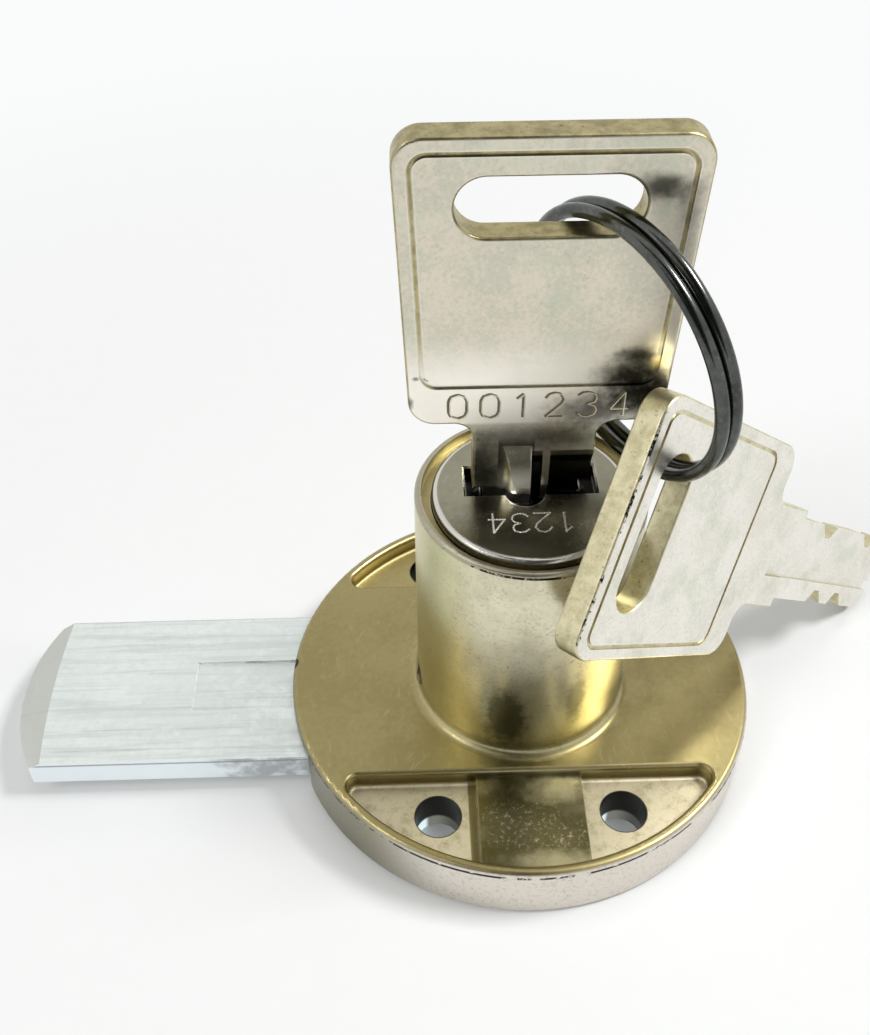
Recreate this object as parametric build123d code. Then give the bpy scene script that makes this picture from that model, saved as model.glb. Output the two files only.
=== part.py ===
from build123d import *
from math import acos, atan2, degrees, dist, hypot, pi, radians, sin, sqrt
import os

# Rim lock: a flanged cylinder lock that slides a flat bolt, with two keys on a split ring.
# All sizes are in millimetres. +Z runs up the barrel to the keys, the bolt points along -X,
# and the origin is the centre of the flange's back face.

# Flange and barrel, one casting
FLANGE_R = 20.25
FLANGE_T = 5.8
FLANGE_EDGE_R = 0.5
FLANGE_BACK_CHAMFER = 0.3
BARREL_R = 9.0
BARREL_L = 22.0
BARREL_ROOT_R = 0.9
BARREL_LIP_R = 0.35
MOUTH_GAP = 0.8
MOUTH_DEPTH = 0.9

# Pockets in the front face of the flange, with a pad between the screw holes of each
POCKET_DEPTH = 1.6
POCKET_INNER_Y = 10.6
POCKET_CORNER_R = 1.0
POCKET_EDGE_R = 0.4
POCKET_FLOOR_R = 0.4
RIM_W = 0.95
PAD_W = 8.8
PAD_DROP = 0.8
SCREW_SPACING_X = 15.3
SCREW_SPACING_Y = 27.6
SCREW_HOLE_R = 1.9

# Back plate and its two countersunk screws
PLATE_T = 1.8
PLATE_R = 18.6
PLATE_HALF_W = 10.1
PLATE_BOLT_SIDE_X = -16.4
PLATE_EAR_W = 5.8
PLATE_EAR_Y = 13.4
PLATE_SCREW_Y = 11.0
PLATE_SCREW_R = 1.2
PLATE_SCREW_HEAD_R = 2.2
PLATE_SCREW_HEAD_H = 1.1
PLATE_SCREW_L = 4.0
SCREW_SLOT_W = 0.5
SCREW_SLOT_DEPTH = 0.5

# Bolt
BOLT_W = 15.75
BOLT_T = 2.7
BOLT_REACH = 24.4
BOLT_TAIL_X = 7.0
BOLT_NOSE_R = 16.0
BOLT_BEVEL_W = 2.75
BOLT_BEVEL_H = 0.7
BOLT_BEVEL_R = 75.0
TRACK_W = 5.5
TRACK_DEPTH = 0.2
TRACK_REACH = 8.9

# Plug, its driver pin and its stop pin
PLUG_R = 7.7
PLUG_EDGE_R = 0.5
MOUTH_BEVEL = 0.15
BULGE_X = -0.5
BULGE_R = 1.4
BULGE_REACH = 1.25
QUARTER_TURN = 90.0
DRIVER_ORBIT_R = 6.0
DRIVER_R = 1.3
DRIVER_HOLD = 2.8
STOP_R = 1.3
STOP_Z = 7.4
STOP_ANGLE = 186.0
STOP_REACH_R = 6.0
STOP_SINK = 0.8
PIN_CHAMFER = 0.2

# Keys
KEY_T = 2.2
KEY_Y = 1.2
KEY_EDGE_R = 0.25
BOW_TOP_W = 20.2
BOW_FOOT_W = 18.4
BOW_H = 22.2
BOW_CORNER_R = 2.0
EYE_W = 12.2
EYE_H = 4.2
EYE_DROP = 4.8
PANEL_INSET = 0.95
PANEL_FOOT_RISE = 3.25
PANEL_CORNER_R = 1.3
PANEL_LINE_W = 0.35
PANEL_LINE_DEPTH = 0.2
NECK_W = 9.1
NECK_L = 6.35
NECK_CORNER_R = 1.5
BLADE_W = 7.4
BLADE_L = 20.5
BLADE_SINK = 0.25
BLADE_TIP_CHAMFER = 1.6
RIB_FOOT_X = -2.5
RIB_CREST_X = -1.1
RIB_SIDE_X = -0.15
RIB_H = 0.75
RIB_START = 2.15
RIB_FADE_L = 3.6
WARD_W = 0.87
FIN_W = 0.53
WARD_DEPTH = 0.9
WARD_START = 2.65
WARD_RAMP_L = 1.9
BACK_WARD_X = 1.3
BACK_WARD_W = 0.9
BACK_WARD_DEPTH = 0.6
CUT_DEPTH = 1.2
CUT_FLOOR_W = 1.1

# Wafers and their springs
WAFER_COUNT = 6
WAFER_PITCH = 2.5
WAFER_FIRST_DROP = 2.95
WAFER_T = 0.9
WAFER_W = 6.4
WAFER_TRAVEL = 0.55
LUG_W = 0.8
LUG_REACH = 1.5
LUG_X = 2.6
SPRING_R = 0.5
SPRING_WIRE_D = 0.24
SPRING_TURNS = 5
LOCKING_DEPTH = 0.55

# Split ring, and how it and the spare key hang
RING_SLACK = 2.6
RING_R = (BOW_H - EYE_DROP + RING_SLACK) / 2
RING_WIRE_D = 0.86
RING_PITCH = 1.28
RING_YAW = 31.71
RING_TILT = 8.68
RING_IN_EYE_ANGLE = -15.88
RING_IN_EYE_X = 3.12
RING_REST_GAP = 0.98
RING_SEAM_ANGLE = 205.0
SPARE_ON_RING_ANGLE = 153.32
SPARE_EYE_X = -4.67
SPARE_EYE_DROP = 0.25
SPARE_HEADING = 35.23
SPARE_DIP = 37.43
SPARE_ROLL = -103.32

# Clearances, and how far a cutter reaches past the face it opens
PAST = 1.0
SLIDE = 0.1
RUN = 0.06
SEAT = 0.02
KEYWAY_GAP = 0.15
SLOT_GAP = 0.5
SHOULDER_RISE = 0.2

# Levels along the barrel, worked out from the sizes above
BARREL_TOP = FLANGE_T + BARREL_L
BOLT_FLOOR = PLATE_T + SLIDE
BOLT_TOP = BOLT_FLOOR + BOLT_T
CHANNEL_TOP = BOLT_TOP + SLIDE
PLUG_FOOT = CHANNEL_TOP + SLIDE
PLUG_TOP = BARREL_TOP
MOUTH_FLOOR = PLUG_TOP - MOUTH_DEPTH
KEY_SHOULDER = PLUG_TOP + SHOULDER_RISE
KEY_TIP = KEY_SHOULDER - BLADE_L
KEY_TOP = KEY_SHOULDER + NECK_L + BOW_H

# The driver pin swings through a quarter turn, half of it on each side of the Y axis
HALF_TURN = radians(QUARTER_TURN / 2)
BOLT_THROW = 2 * DRIVER_ORBIT_R * sin(HALF_TURN)
STEADY_RATE = sin(HALF_TURN) / HALF_TURN
DRIVER_LAG = DRIVER_ORBIT_R * (sin(acos(STEADY_RATE)) - STEADY_RATE * acos(STEADY_RATE))
DRIVER_ANGLE = 90 + QUARTER_TURN / 2
CHANNEL_HALF_W = BOLT_W / 2 + SLIDE
CHANNEL_END_X = BOLT_TAIL_X + BOLT_THROW + 4 * SLIDE
SCREW_XY = [(x, y) for x in (-SCREW_SPACING_X / 2, SCREW_SPACING_X / 2)
            for y in (-SCREW_SPACING_Y / 2, SCREW_SPACING_Y / 2)]


def polar(radius, angle, z=0.0):
    """Point at a radius and an angle in degrees about Z."""
    return Vector(radius, 0, z).rotate(Axis.Z, angle)


def turned(start, *steps):
    """Solid turned about Z. A step is (r, z), or (r, z, bend) for an arc of that radius."""
    edges, at = [], start
    for step in steps:
        to = step[:2]
        edges.append(RadiusArc(at, to, step[2]) if len(step) == 3 else Line(at, to))
        at = to
    edges.append(Line(at, start))
    return revolve(Plane.XZ * make_face(edges), Axis.Z)


def post(radius, low, high, x=0.0, y=0.0):
    """Upright cylinder between two heights."""
    return Pos(x, y, low) * Cylinder(radius, high - low, align=(Align.CENTER, Align.CENTER, Align.MIN))


def block(x, y, z):
    """Box between pairs of limits."""
    return Pos(x[0], y[0], z[0]) * Box(x[1] - x[0], y[1] - y[0], z[1] - z[0], align=Align.MIN)


def patch(x, y):
    """Rectangle between pairs of limits."""
    return Pos(x[0], y[0]) * Rectangle(x[1] - x[0], y[1] - y[0], align=Align.MIN)


def prism(sketch, low, high):
    """Sketch on the XY plane raised between two heights."""
    return extrude(Pos(0, 0, low) * sketch, high - low)


def biarc(p0, t0, p1, t1):
    """Two tangent arcs that leave p0 along t0 and reach p1 along t1."""
    span = p1 - p0
    along, bend = span.dot(t0 + t1), 2 * (1 - t0.dot(t1))
    reach = (sqrt(along**2 + bend * span.dot(span)) - along) / bend
    a, b = p0 + t0 * reach, p1 - t1 * reach
    joint = (a + b) * 0.5
    return [TangentArc(p0, joint, tangent=t0), TangentArc(joint, p1, tangent=b - a)]


def wound_wire(radius, wire_d, heights, start_angle, slope, name):
    """Round wire wound about Z, one quarter turn between one height and the next."""
    nodes = []
    for i, height in enumerate(heights):
        angle = start_angle + 90 * i
        way = Vector(0, 1, slope).rotate(Axis.Z, angle).normalized()
        nodes.append((polar(radius, angle, height), way))
    first, last = nodes[0], nodes[-1]
    edges = [Line(first[0] - first[1] * wire_d, first[0])]
    for (p0, t0), (p1, t1) in zip(nodes, nodes[1:]):
        edges += biarc(p0, t0, p1, t1)
    edges.append(Line(last[0], last[0] + last[1] * wire_d))
    path = Wire(edges)
    wire = sweep(Plane(path @ 0, z_dir=path % 0) * Circle(wire_d / 2), path=path)
    report_wire(name, path, wire, wire_d, radius)
    return wire


def report_wire(name, path, wire, wire_d, radius):
    """Print the least gap of the wire to itself, and its volume against section times length."""
    count = 24 * (1 + round(path.length / radius))
    points = [tuple(path @ (i / count)) for i in range(count + 1)]
    apart = round(count * pi * radius / path.length)
    gap = min(dist(points[i], points[j]) for i in range(count + 1) for j in range(i + apart, count + 1))
    section = pi * wire_d**2 / 4
    print(name, "least gap to itself", round(gap - wire_d, 3), "volume share",
          round(wire.volume / (section * path.length), 4))


def pocket(side):
    """Recess in the front of the flange on one side of the barrel, with its pad left standing."""
    outer_r = FLANGE_R - RIM_W
    beyond = Pos(0, side * (POCKET_INNER_Y + outer_r)) * Rectangle(2 * outer_r, 2 * outer_r)
    shape = Circle(outer_r) & beyond
    shape = fillet(shape.vertices(), POCKET_CORNER_R)
    floor = FLANGE_T - POCKET_DEPTH
    hollow = prism(shape, floor, FLANGE_T + PAST)
    hollow = fillet(hollow.faces().sort_by(Axis.Z)[0].edges(), POCKET_FLOOR_R)
    pad = Pos(0, side * FLANGE_R) * RectangleRounded(PAD_W, 2 * FLANGE_R, POCKET_CORNER_R)
    return hollow - prism(pad, floor - PAST, FLANGE_T - PAD_DROP)


def pocket_rims(body):
    """Edges where the pockets open through the front face of the flange."""
    front = body.edges().filter_by_position(Axis.Z, FLANGE_T - SEAT, FLANGE_T + SEAT)
    inside = [edge for edge in front if hypot(edge.center().X, edge.center().Y) < FLANGE_R - RIM_W + SEAT]
    return [edge for edge in inside if abs(edge.center().Y) > POCKET_INNER_Y - SEAT]


def plate_outline(grow):
    """Outline of the back plate, grown by a clearance for its recess."""
    right = PLATE_R + grow
    bar = Pos((PLATE_BOLT_SIDE_X - grow + right) / 2, 0) * Rectangle(
        right - PLATE_BOLT_SIDE_X + grow, 2 * (PLATE_HALF_W + grow))
    ear = RectangleRounded(PLATE_EAR_W + 2 * grow, 2 * (PLATE_EAR_Y + grow), PLATE_EAR_W / 2 + grow - SEAT)
    return (Circle(right) & bar) + ear


def locking_grooves():
    """Grooves down the bore that take the wafers' ends, at rest and after a quarter turn."""
    top = MOUTH_FLOOR - WAFER_FIRST_DROP + WAFER_T
    foot = top - WAFER_PITCH * (WAFER_COUNT - 1) - 2 * WAFER_T
    half = WAFER_W / 2 + 2 * SLIDE
    reach = PLUG_R + LOCKING_DEPTH
    strip = block((-reach, reach), (KEY_Y - half, KEY_Y + half), (foot, top))
    return (strip + strip.rotate(Axis.Z, -QUARTER_TURN)) & post(reach, foot, top)


def housing():
    """Flange and barrel in one piece, bored for the plug and cut for the bolt."""
    edge, root, lip, low = FLANGE_EDGE_R, BARREL_ROOT_R, BARREL_LIP_R, FLANGE_BACK_CHAMFER
    body = turned((0, 0), (FLANGE_R - low, 0), (FLANGE_R, low), (FLANGE_R, FLANGE_T - edge),
                  (FLANGE_R - edge, FLANGE_T, -edge), (BARREL_R + root, FLANGE_T),
                  (BARREL_R, FLANGE_T + root, root), (BARREL_R, BARREL_TOP - lip),
                  (BARREL_R - lip, BARREL_TOP, -lip), (0, BARREL_TOP))
    body -= post(PLUG_R + RUN, CHANNEL_TOP - PAST, BARREL_TOP + PAST)
    body -= post(PLUG_R + MOUTH_GAP, BARREL_TOP - MOUTH_DEPTH, BARREL_TOP + PAST)
    body -= locking_grooves()
    body -= pocket(1) + pocket(-1)
    body = fillet(pocket_rims(body), POCKET_EDGE_R)
    for x, y in SCREW_XY:
        body -= post(SCREW_HOLE_R, -PAST, FLANGE_T + PAST, x, y)
    width, outside = (-CHANNEL_HALF_W, CHANNEL_HALF_W), -FLANGE_R - PAST
    body -= block((outside, CHANNEL_END_X), width, (PLATE_T, CHANNEL_TOP))
    body -= block((outside, PLATE_BOLT_SIDE_X + PAST), width, (-PAST, CHANNEL_TOP))
    body -= prism(plate_outline(SLIDE), -PAST, PLATE_T)
    for side in (1, -1):
        body -= post(PLATE_SCREW_R + SEAT, PLATE_T - PAST, PLATE_SCREW_L + SLIDE, 0, side * PLATE_SCREW_Y)
    return body - stop_bore(BARREL_R + PAST)


def stop_bore(outer_r):
    """Radial hole for the stop pin, from inside the bore to a radius."""
    bore = Plane(polar(STOP_REACH_R, STOP_ANGLE, STOP_Z), z_dir=polar(1, STOP_ANGLE))
    return bore * Cylinder(STOP_R + SEAT, outer_r - STOP_REACH_R,
                           align=(Align.CENTER, Align.CENTER, Align.MIN))


def stop_pin():
    """Pin through the barrel wall that holds the plug in and limits its turn."""
    place = Plane(polar(STOP_REACH_R, STOP_ANGLE, STOP_Z), z_dir=polar(1, STOP_ANGLE))
    length = BARREL_R - STOP_SINK - STOP_REACH_R
    pin = Cylinder(STOP_R, length, align=(Align.CENTER, Align.CENTER, Align.MIN))
    return place * chamfer(pin.edges().filter_by(GeomType.CIRCLE), PIN_CHAMFER)


def back_plate():
    """Plate that closes the bolt's channel, flush with the back of the flange."""
    plate = prism(plate_outline(0), 0, PLATE_T)
    for side in (1, -1):
        y = side * PLATE_SCREW_Y
        sink = Pos(0, y, -SEAT) * Cone(PLATE_SCREW_HEAD_R + SEAT, PLATE_SCREW_R + SEAT,
                                       PLATE_SCREW_HEAD_H + SEAT,
                                       align=(Align.CENTER, Align.CENTER, Align.MIN))
        plate -= sink + post(PLATE_SCREW_R + SEAT, 0, PLATE_T + PAST, 0, y)
    return plate


def back_plate_screw(side):
    """Countersunk slotted screw, its head flush with the back plate."""
    y = side * PLATE_SCREW_Y
    head = Pos(0, y, 0) * Cone(PLATE_SCREW_HEAD_R, PLATE_SCREW_R, PLATE_SCREW_HEAD_H,
                               align=(Align.CENTER, Align.CENTER, Align.MIN))
    screw = head + post(PLATE_SCREW_R, 0, PLATE_SCREW_L, 0, y)
    reach = 2 * PLATE_SCREW_HEAD_R
    slot_y = (y - SCREW_SLOT_W / 2, y + SCREW_SLOT_W / 2)
    return screw - block((-reach, reach), slot_y, (-PAST, SCREW_SLOT_DEPTH))


def bolt_outline(nose_r, inset):
    """Plan of the bolt with a nose of a given radius, drawn in by an inset at the nose only."""
    tip = -FLANGE_R - BOLT_REACH + inset
    half = BOLT_W / 2
    corner = tip + nose_r - sqrt(nose_r**2 - half**2)
    return make_face([ThreePointArc((corner, half), (tip, 0), (corner, -half)),
                      Line((corner, -half), (BOLT_TAIL_X, -half)),
                      Line((BOLT_TAIL_X, -half), (BOLT_TAIL_X, half)),
                      Line((BOLT_TAIL_X, half), (corner, half))])


def bolt():
    """Flat bolt with a bevelled nose, a shallow track and the notch the driver pin runs in."""
    bevel_foot = BOLT_TOP - BOLT_BEVEL_H
    outline = bolt_outline(BOLT_NOSE_R, 0)
    bevel_crest = Pos(0, 0, BOLT_TOP) * bolt_outline(BOLT_BEVEL_R, BOLT_BEVEL_W)
    bevel = loft([Pos(0, 0, bevel_foot) * outline, bevel_crest], ruled=True)
    body = prism(outline, BOLT_FLOOR, bevel_foot) + bevel
    track = block((-FLANGE_R - TRACK_REACH, BOLT_TAIL_X + PAST), (-TRACK_W / 2, TRACK_W / 2),
                  (BOLT_TOP - TRACK_DEPTH, BOLT_TOP + PAST))
    body -= track
    pin = polar(DRIVER_ORBIT_R, DRIVER_ANGLE)
    half = DRIVER_R + DRIVER_LAG + RUN
    notch = block((pin.X - half, pin.X + half), (pin.Y - DRIVER_R - SLIDE, BOLT_W), (0, FLANGE_T))
    return body - notch


def wafer_levels():
    """Mid-heights of the wafers, from the plug's face down."""
    return [MOUTH_FLOOR - WAFER_FIRST_DROP - i * WAFER_PITCH for i in range(WAFER_COUNT)]


def wafer_way(index):
    """Side towards which a wafer springs out: -1 and 1 in turn."""
    return -1 if index % 2 == 0 else 1


def spring_line():
    """Y of the spring's axis, beside the wafer, and the half length that the spring fills."""
    return KEY_Y + WAFER_W / 2 + LUG_REACH / 2, LUG_X - LUG_W / 2 - SLIDE


def wards():
    """Limits across the key of its two front grooves. The second one runs out at the edge."""
    fin = RIB_SIDE_X + WARD_W
    return [(RIB_SIDE_X, fin), (fin + FIN_W, NECK_W)]


def rib_section(face, grow=0.0):
    """Section of the rib in front of a face: it rises softly on the left and drops on the right."""
    drop = KEY_T / 2 - face
    foot, crest = (RIB_FOOT_X + drop, -face), (RIB_CREST_X + drop, -face - RIB_H)
    side = RIB_SIDE_X + grow
    rise = Spline(foot, crest, tangents=[(1, 0), (1, 0)])
    rest = Polyline(crest, (side, crest[1]), (side, 0), (foot[0], 0), foot)
    return make_face([rise] + list(rest.edges()))


def keyway():
    """Section of the keyway: the blade's own section with a clearance all round."""
    face = KEY_T / 2 - BLADE_SINK + KEYWAY_GAP
    half = BLADE_W / 2 + KEYWAY_GAP
    section = patch((-half, half), (-face, face)) + rib_section(face, KEYWAY_GAP)
    front_ward = (-KEY_T, -KEY_T / 2 + WARD_DEPTH - KEYWAY_GAP)
    for low, high in wards():
        section -= patch((low + KEYWAY_GAP, high - KEYWAY_GAP), front_ward)
    half = BACK_WARD_W / 2 - KEYWAY_GAP
    back_ward = (KEY_T / 2 - BACK_WARD_DEPTH + KEYWAY_GAP, KEY_T)
    section -= patch((BACK_WARD_X - half, BACK_WARD_X + half), back_ward)
    return Pos(0, KEY_Y) * section


def mouth():
    """Outline of the slot in the plug's face, wider than the neck, with a round bulge for the rib."""
    half_w, half_t = NECK_W / 2 + SLOT_GAP, KEY_T / 2 + SLOT_GAP
    bulge = Pos(BULGE_X, BULGE_R - half_t - BULGE_REACH) * Circle(BULGE_R)
    return Pos(0, KEY_Y) * (patch((-half_w, half_w), (-half_t, half_t)) + bulge)


def bevelled_mouth(body):
    """Plug with the slot cut into its face, the slot's edges bevelled."""
    body -= prism(mouth(), MOUTH_FLOOR, PLUG_TOP + PAST)
    face = body.edges().filter_by_position(Axis.Z, PLUG_TOP - SEAT, PLUG_TOP + SEAT)
    rim = [edge for edge in face if hypot(edge.center().X, edge.center().Y) < PLUG_R - 2 * PLUG_EDGE_R]
    return chamfer(rim, MOUTH_BEVEL)


def plug():
    """Core with the keyway, the wafer slots, the spring pockets and the stop groove."""
    body = turned((0, PLUG_FOOT), (PLUG_R, PLUG_FOOT), (PLUG_R, PLUG_TOP - PLUG_EDGE_R),
                  (PLUG_R - PLUG_EDGE_R, PLUG_TOP, -PLUG_EDGE_R), (0, PLUG_TOP))
    body = bevelled_mouth(body) - prism(keyway(), KEY_TIP - 2 * SLIDE, PLUG_TOP + PAST)
    spring_y, spring_half = spring_line()
    side = KEY_Y + WAFER_W / 2
    for i, z in enumerate(wafer_levels()):
        half_t, half_w = WAFER_T / 2 + SLIDE / 2, WAFER_W / 2 + SLIDE
        body -= block((-BARREL_R, BARREL_R), (KEY_Y - half_w, KEY_Y + half_w), (z - half_t, z + half_t))
        lug_end = LUG_X + LUG_W / 2 + WAFER_TRAVEL + SLIDE
        ends = sorted((wafer_way(i) * lug_end, -wafer_way(i) * (spring_half + SEAT)))
        reach = SPRING_R + SPRING_WIRE_D
        body -= block(ends, (side, side + LUG_REACH + SLIDE), (z - reach, z + reach))
    body -= driver_pin_blank(SEAT)
    return body - stop_groove()


def stop_groove():
    """Groove round part of the plug's foot, in which the stop pin gives a quarter turn."""
    slack = degrees(atan2(STOP_R + SLIDE, STOP_REACH_R))
    sweep_angle = QUARTER_TURN + 2 * slack
    low, high = STOP_Z - STOP_R - SLIDE, STOP_Z + STOP_R + SLIDE
    inner = STOP_REACH_R - 2 * SLIDE
    section = Pos((inner + BARREL_R) / 2, (low + high) / 2) * Rectangle(BARREL_R - inner, high - low)
    return revolve(Plane.XZ * section, Axis.Z, sweep_angle).rotate(Axis.Z, STOP_ANGLE - slack)


def driver_pin_blank(grow):
    """Driver pin as a plain cylinder, grown by a clearance for its hole."""
    at = polar(DRIVER_ORBIT_R, DRIVER_ANGLE)
    return post(DRIVER_R + grow, BOLT_FLOOR + SLIDE, PLUG_FOOT + DRIVER_HOLD + grow, at.X, at.Y)


def driver_pin():
    """Pin pressed into the plug's foot, off its centre, that pushes the bolt."""
    pin = driver_pin_blank(0)
    return chamfer(pin.edges().filter_by(GeomType.CIRCLE), PIN_CHAMFER)


def wafer(index):
    """Wafer with its window and the lug that its spring pushes, where the key holds it."""
    z, way = wafer_levels()[index], wafer_way(index)
    end_r = PLUG_R - SLIDE
    bar = Circle(end_r) & Pos(0, KEY_Y) * Rectangle(2 * end_r, WAFER_W)
    window_half = BLADE_W / 2 + KEYWAY_GAP + WAFER_TRAVEL
    back = KEY_T / 2 + KEYWAY_GAP
    bar -= patch((-window_half, window_half), (KEY_Y - back - RIB_H, KEY_Y + back))
    lug = Pos(way * LUG_X, KEY_Y + WAFER_W / 2 + LUG_REACH / 2 - SEAT) * Rectangle(LUG_W, LUG_REACH)
    return prism(bar + lug, z - WAFER_T / 2, z + WAFER_T / 2)


def wafer_spring(index):
    """Coil spring beside a wafer, between its lug and the end of the pocket in the plug."""
    y, half = spring_line()
    z, length = wafer_levels()[index], 2 * (half - SPRING_WIRE_D)
    quarters = 4 * SPRING_TURNS
    heights = [length * i / quarters - length / 2 for i in range(quarters + 1)]
    slope = length / SPRING_TURNS / (2 * pi * SPRING_R)
    coil = wound_wire(SPRING_R, SPRING_WIRE_D, heights, 0, slope, "wafer spring")
    return Plane((0, y, z), x_dir=(0, 1, 0), z_dir=(1, 0, 0)) * coil


def bow_outline(side_inset, top_inset, foot_rise, corner_r):
    """Tapered outline of the bow, drawn in by insets, with the bow's top edge at zero."""
    def half_at(drop):
        return (BOW_TOP_W + (BOW_FOOT_W - BOW_TOP_W) * drop / BOW_H) / 2 - side_inset

    top, foot = top_inset, BOW_H - foot_rise
    corners = [(half_at(top), -top), (half_at(foot), -foot), (-half_at(foot), -foot), (-half_at(top), -top)]
    return fillet(make_face(Polyline(*corners, close=True)).vertices(), corner_r)


def key_cuts():
    """Bitting cuts, one for every second and third wafer, on the edges in turn."""
    cuts = Part()
    for i, z in enumerate(wafer_levels()):
        if i % 3 == 0:
            continue
        edge, way = wafer_way(i) * -BLADE_W / 2, wafer_way(i)
        floor, wide = CUT_FLOOR_W / 2, CUT_FLOOR_W / 2 + CUT_DEPTH
        deep, outside = edge + way * CUT_DEPTH, edge - way * PAST
        corners = [(deep, floor), (deep, -floor), (outside, -wide - PAST), (outside, wide + PAST)]
        notch = Pos(0, z - KEY_TOP) * make_face(Polyline(*corners, close=True))
        cuts += extrude(Plane.XZ * notch, 2 * KEY_T, both=True)
    return cuts


def key_blade():
    """Blade below the neck: thinner than the neck, with the rib down its front."""
    shoulder = -BOW_H - NECK_L
    tip = shoulder - BLADE_L
    top, point = shoulder + SLIDE, BLADE_TIP_CHAMFER
    half, face = BLADE_W / 2, KEY_T / 2 - BLADE_SINK
    sides = [(-half, top), (-half, tip + point), (point - half, tip),
             (half - point, tip), (half, tip + point), (half, top)]
    outline = extrude(Plane.XZ * make_face(Polyline(*sides, close=True)), KEY_T, both=True)
    section = patch((-half, half), (-face, face)) + rib_section(face)
    return prism(section, tip, top) & outline


def neck_rib():
    """Rib on the neck, which rises out of the front face towards the blade."""
    start, shoulder = -BOW_H - RIB_START, -BOW_H - NECK_L
    front = -KEY_T / 2
    side = [(0, start), (front, start), (front - RIB_H, start - RIB_FADE_L),
            (front - RIB_H, shoulder), (0, shoulder)]
    wedge = extrude(Plane.YZ * make_face(Polyline(*side, close=True)), NECK_W / 2, both=True)
    return prism(rib_section(KEY_T / 2), shoulder, start) & wedge


def key_wards():
    """Grooves down the key: two in front that ramp in on the neck, and one at the back."""
    end, start = -BOW_H - NECK_L - BLADE_L - PAST, -BOW_H - WARD_START
    front, floor = -KEY_T / 2, -KEY_T / 2 + WARD_DEPTH
    outside = front - KEY_T
    above = start + KEY_T * WARD_RAMP_L / WARD_DEPTH
    side = [(outside, above), (floor, start - WARD_RAMP_L), (floor, end), (outside, end)]
    grooves = Part()
    for low, high in wards():
        grooves += extrude(Plane.YZ.offset(low) * make_face(Polyline(*side, close=True)), high - low)
    half = BACK_WARD_W / 2
    back = (KEY_T / 2 - BACK_WARD_DEPTH, KEY_T)
    return grooves + block((BACK_WARD_X - half, BACK_WARD_X + half), back, (end, start))


def key_blank():
    """Key with its bow's top edge at zero, its blade pointing down and its front facing -Y."""
    neck = Pos(0, -BOW_H - NECK_L) * Rectangle(NECK_W, NECK_L + SLIDE, align=(Align.CENTER, Align.MIN))
    bow = bow_outline(0, 0, 0, BOW_CORNER_R) + neck
    inner = [corner for corner in bow.vertices() if abs(corner.Y + BOW_H) < SEAT and abs(corner.X) < NECK_W]
    bow = fillet(inner, NECK_CORNER_R) - Pos(0, -EYE_DROP) * SlotOverall(EYE_W, EYE_H)
    plate = extrude(Plane.XZ * bow, KEY_T / 2, both=True)
    faces = [edge for edge in plate.edges() if abs(abs(edge.center().Y) - KEY_T / 2) < SEAT]
    plate = fillet(faces, KEY_EDGE_R)
    panel = bow_outline(PANEL_INSET, PANEL_INSET, PANEL_FOOT_RISE, PANEL_CORNER_R)
    line = Plane.XZ * (panel - offset(panel, -PANEL_LINE_W))
    for way in (1, -1):
        line_cut = Pos(0, way * (KEY_T / 2 - PANEL_LINE_DEPTH), 0) * line
        plate -= extrude(line_cut, -way * 2 * PANEL_LINE_DEPTH)
    return plate + neck_rib() + key_blade() - key_wards() - key_cuts()


def ring_plane():
    """Plane of the split ring: its centre, X up the ring and Z along its axis."""
    normal = Vector(1, 0, 0).rotate(Axis.Y, -RING_TILT).rotate(Axis.Z, RING_YAW)
    up = Vector(0, 0, 1).rotate(Axis.Y, -RING_TILT).rotate(Axis.Z, RING_YAW)
    eye_floor = KEY_TOP - EYE_DROP - EYE_H / 2
    in_eye = Vector(RING_IN_EYE_X, KEY_Y, eye_floor + RING_WIRE_D / 2 + RING_REST_GAP)
    reach = up.rotate(Axis((0, 0, 0), normal), RING_IN_EYE_ANGLE) * RING_R
    return Plane(in_eye - reach, x_dir=up, z_dir=normal)


def split_ring():
    """Two turns of wire side by side that cross from one to the other behind the bow."""
    low, high = -RING_PITCH / 2, RING_PITCH / 2
    heights = [low] * 4 + [high] * 4
    return ring_plane() * wound_wire(RING_R, RING_WIRE_D, heights, RING_SEAM_ANGLE - 270, 0, "split ring")


def spare_key_plane():
    """Where the spare key hangs: its bow's eye on the ring, its blade heading down and away."""
    down = Vector(1, 0, 0).rotate(Axis.Y, SPARE_DIP).rotate(Axis.Z, SPARE_HEADING)
    across = Vector(0, 1, 0).rotate(Axis.Z, SPARE_HEADING).rotate(Axis((0, 0, 0), down), SPARE_ROLL)
    ring = ring_plane()
    on_ring = ring.origin + ring.x_dir.rotate(Axis((0, 0, 0), ring.z_dir), SPARE_ON_RING_ANGLE) * RING_R
    bow_top = on_ring - across * SPARE_EYE_X - down * (EYE_DROP + SPARE_EYE_DROP)
    return Plane(bow_top, x_dir=across, z_dir=-down)


def main():
    """Write one STEP file for each piece."""
    os.makedirs("parts", exist_ok=True)
    blank = key_blank()
    pieces = {
        "housing": housing(),
        "back_plate": back_plate(),
        "back_plate_screw_front": back_plate_screw(-1),
        "back_plate_screw_rear": back_plate_screw(1),
        "stop_pin": stop_pin(),
        "bolt": bolt(),
        "plug": plug(),
        "driver_pin": driver_pin(),
        "key": Pos(0, KEY_Y, KEY_TOP) * blank,
        "spare_key": spare_key_plane() * blank,
        "split_ring": split_ring(),
    }
    for i in range(WAFER_COUNT):
        pieces[f"wafer_{i + 1}"] = wafer(i)
        pieces[f"wafer_spring_{i + 1}"] = wafer_spring(i)
    for name, piece in pieces.items():
        export_step(piece, f"parts/{name}.step")


main()
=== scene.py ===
"""Looks for a cylinder rim lock: plated casting, zinc bolt, nickel keys and a steel split ring.

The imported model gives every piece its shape. This script dresses each one in a worn metal
finish, winds the split ring in finer wire, stamps plain numbers on the core and the key, and
sets the table, lamps and camera. Sizes are in millimetres and become metres where they are used.
"""

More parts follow.
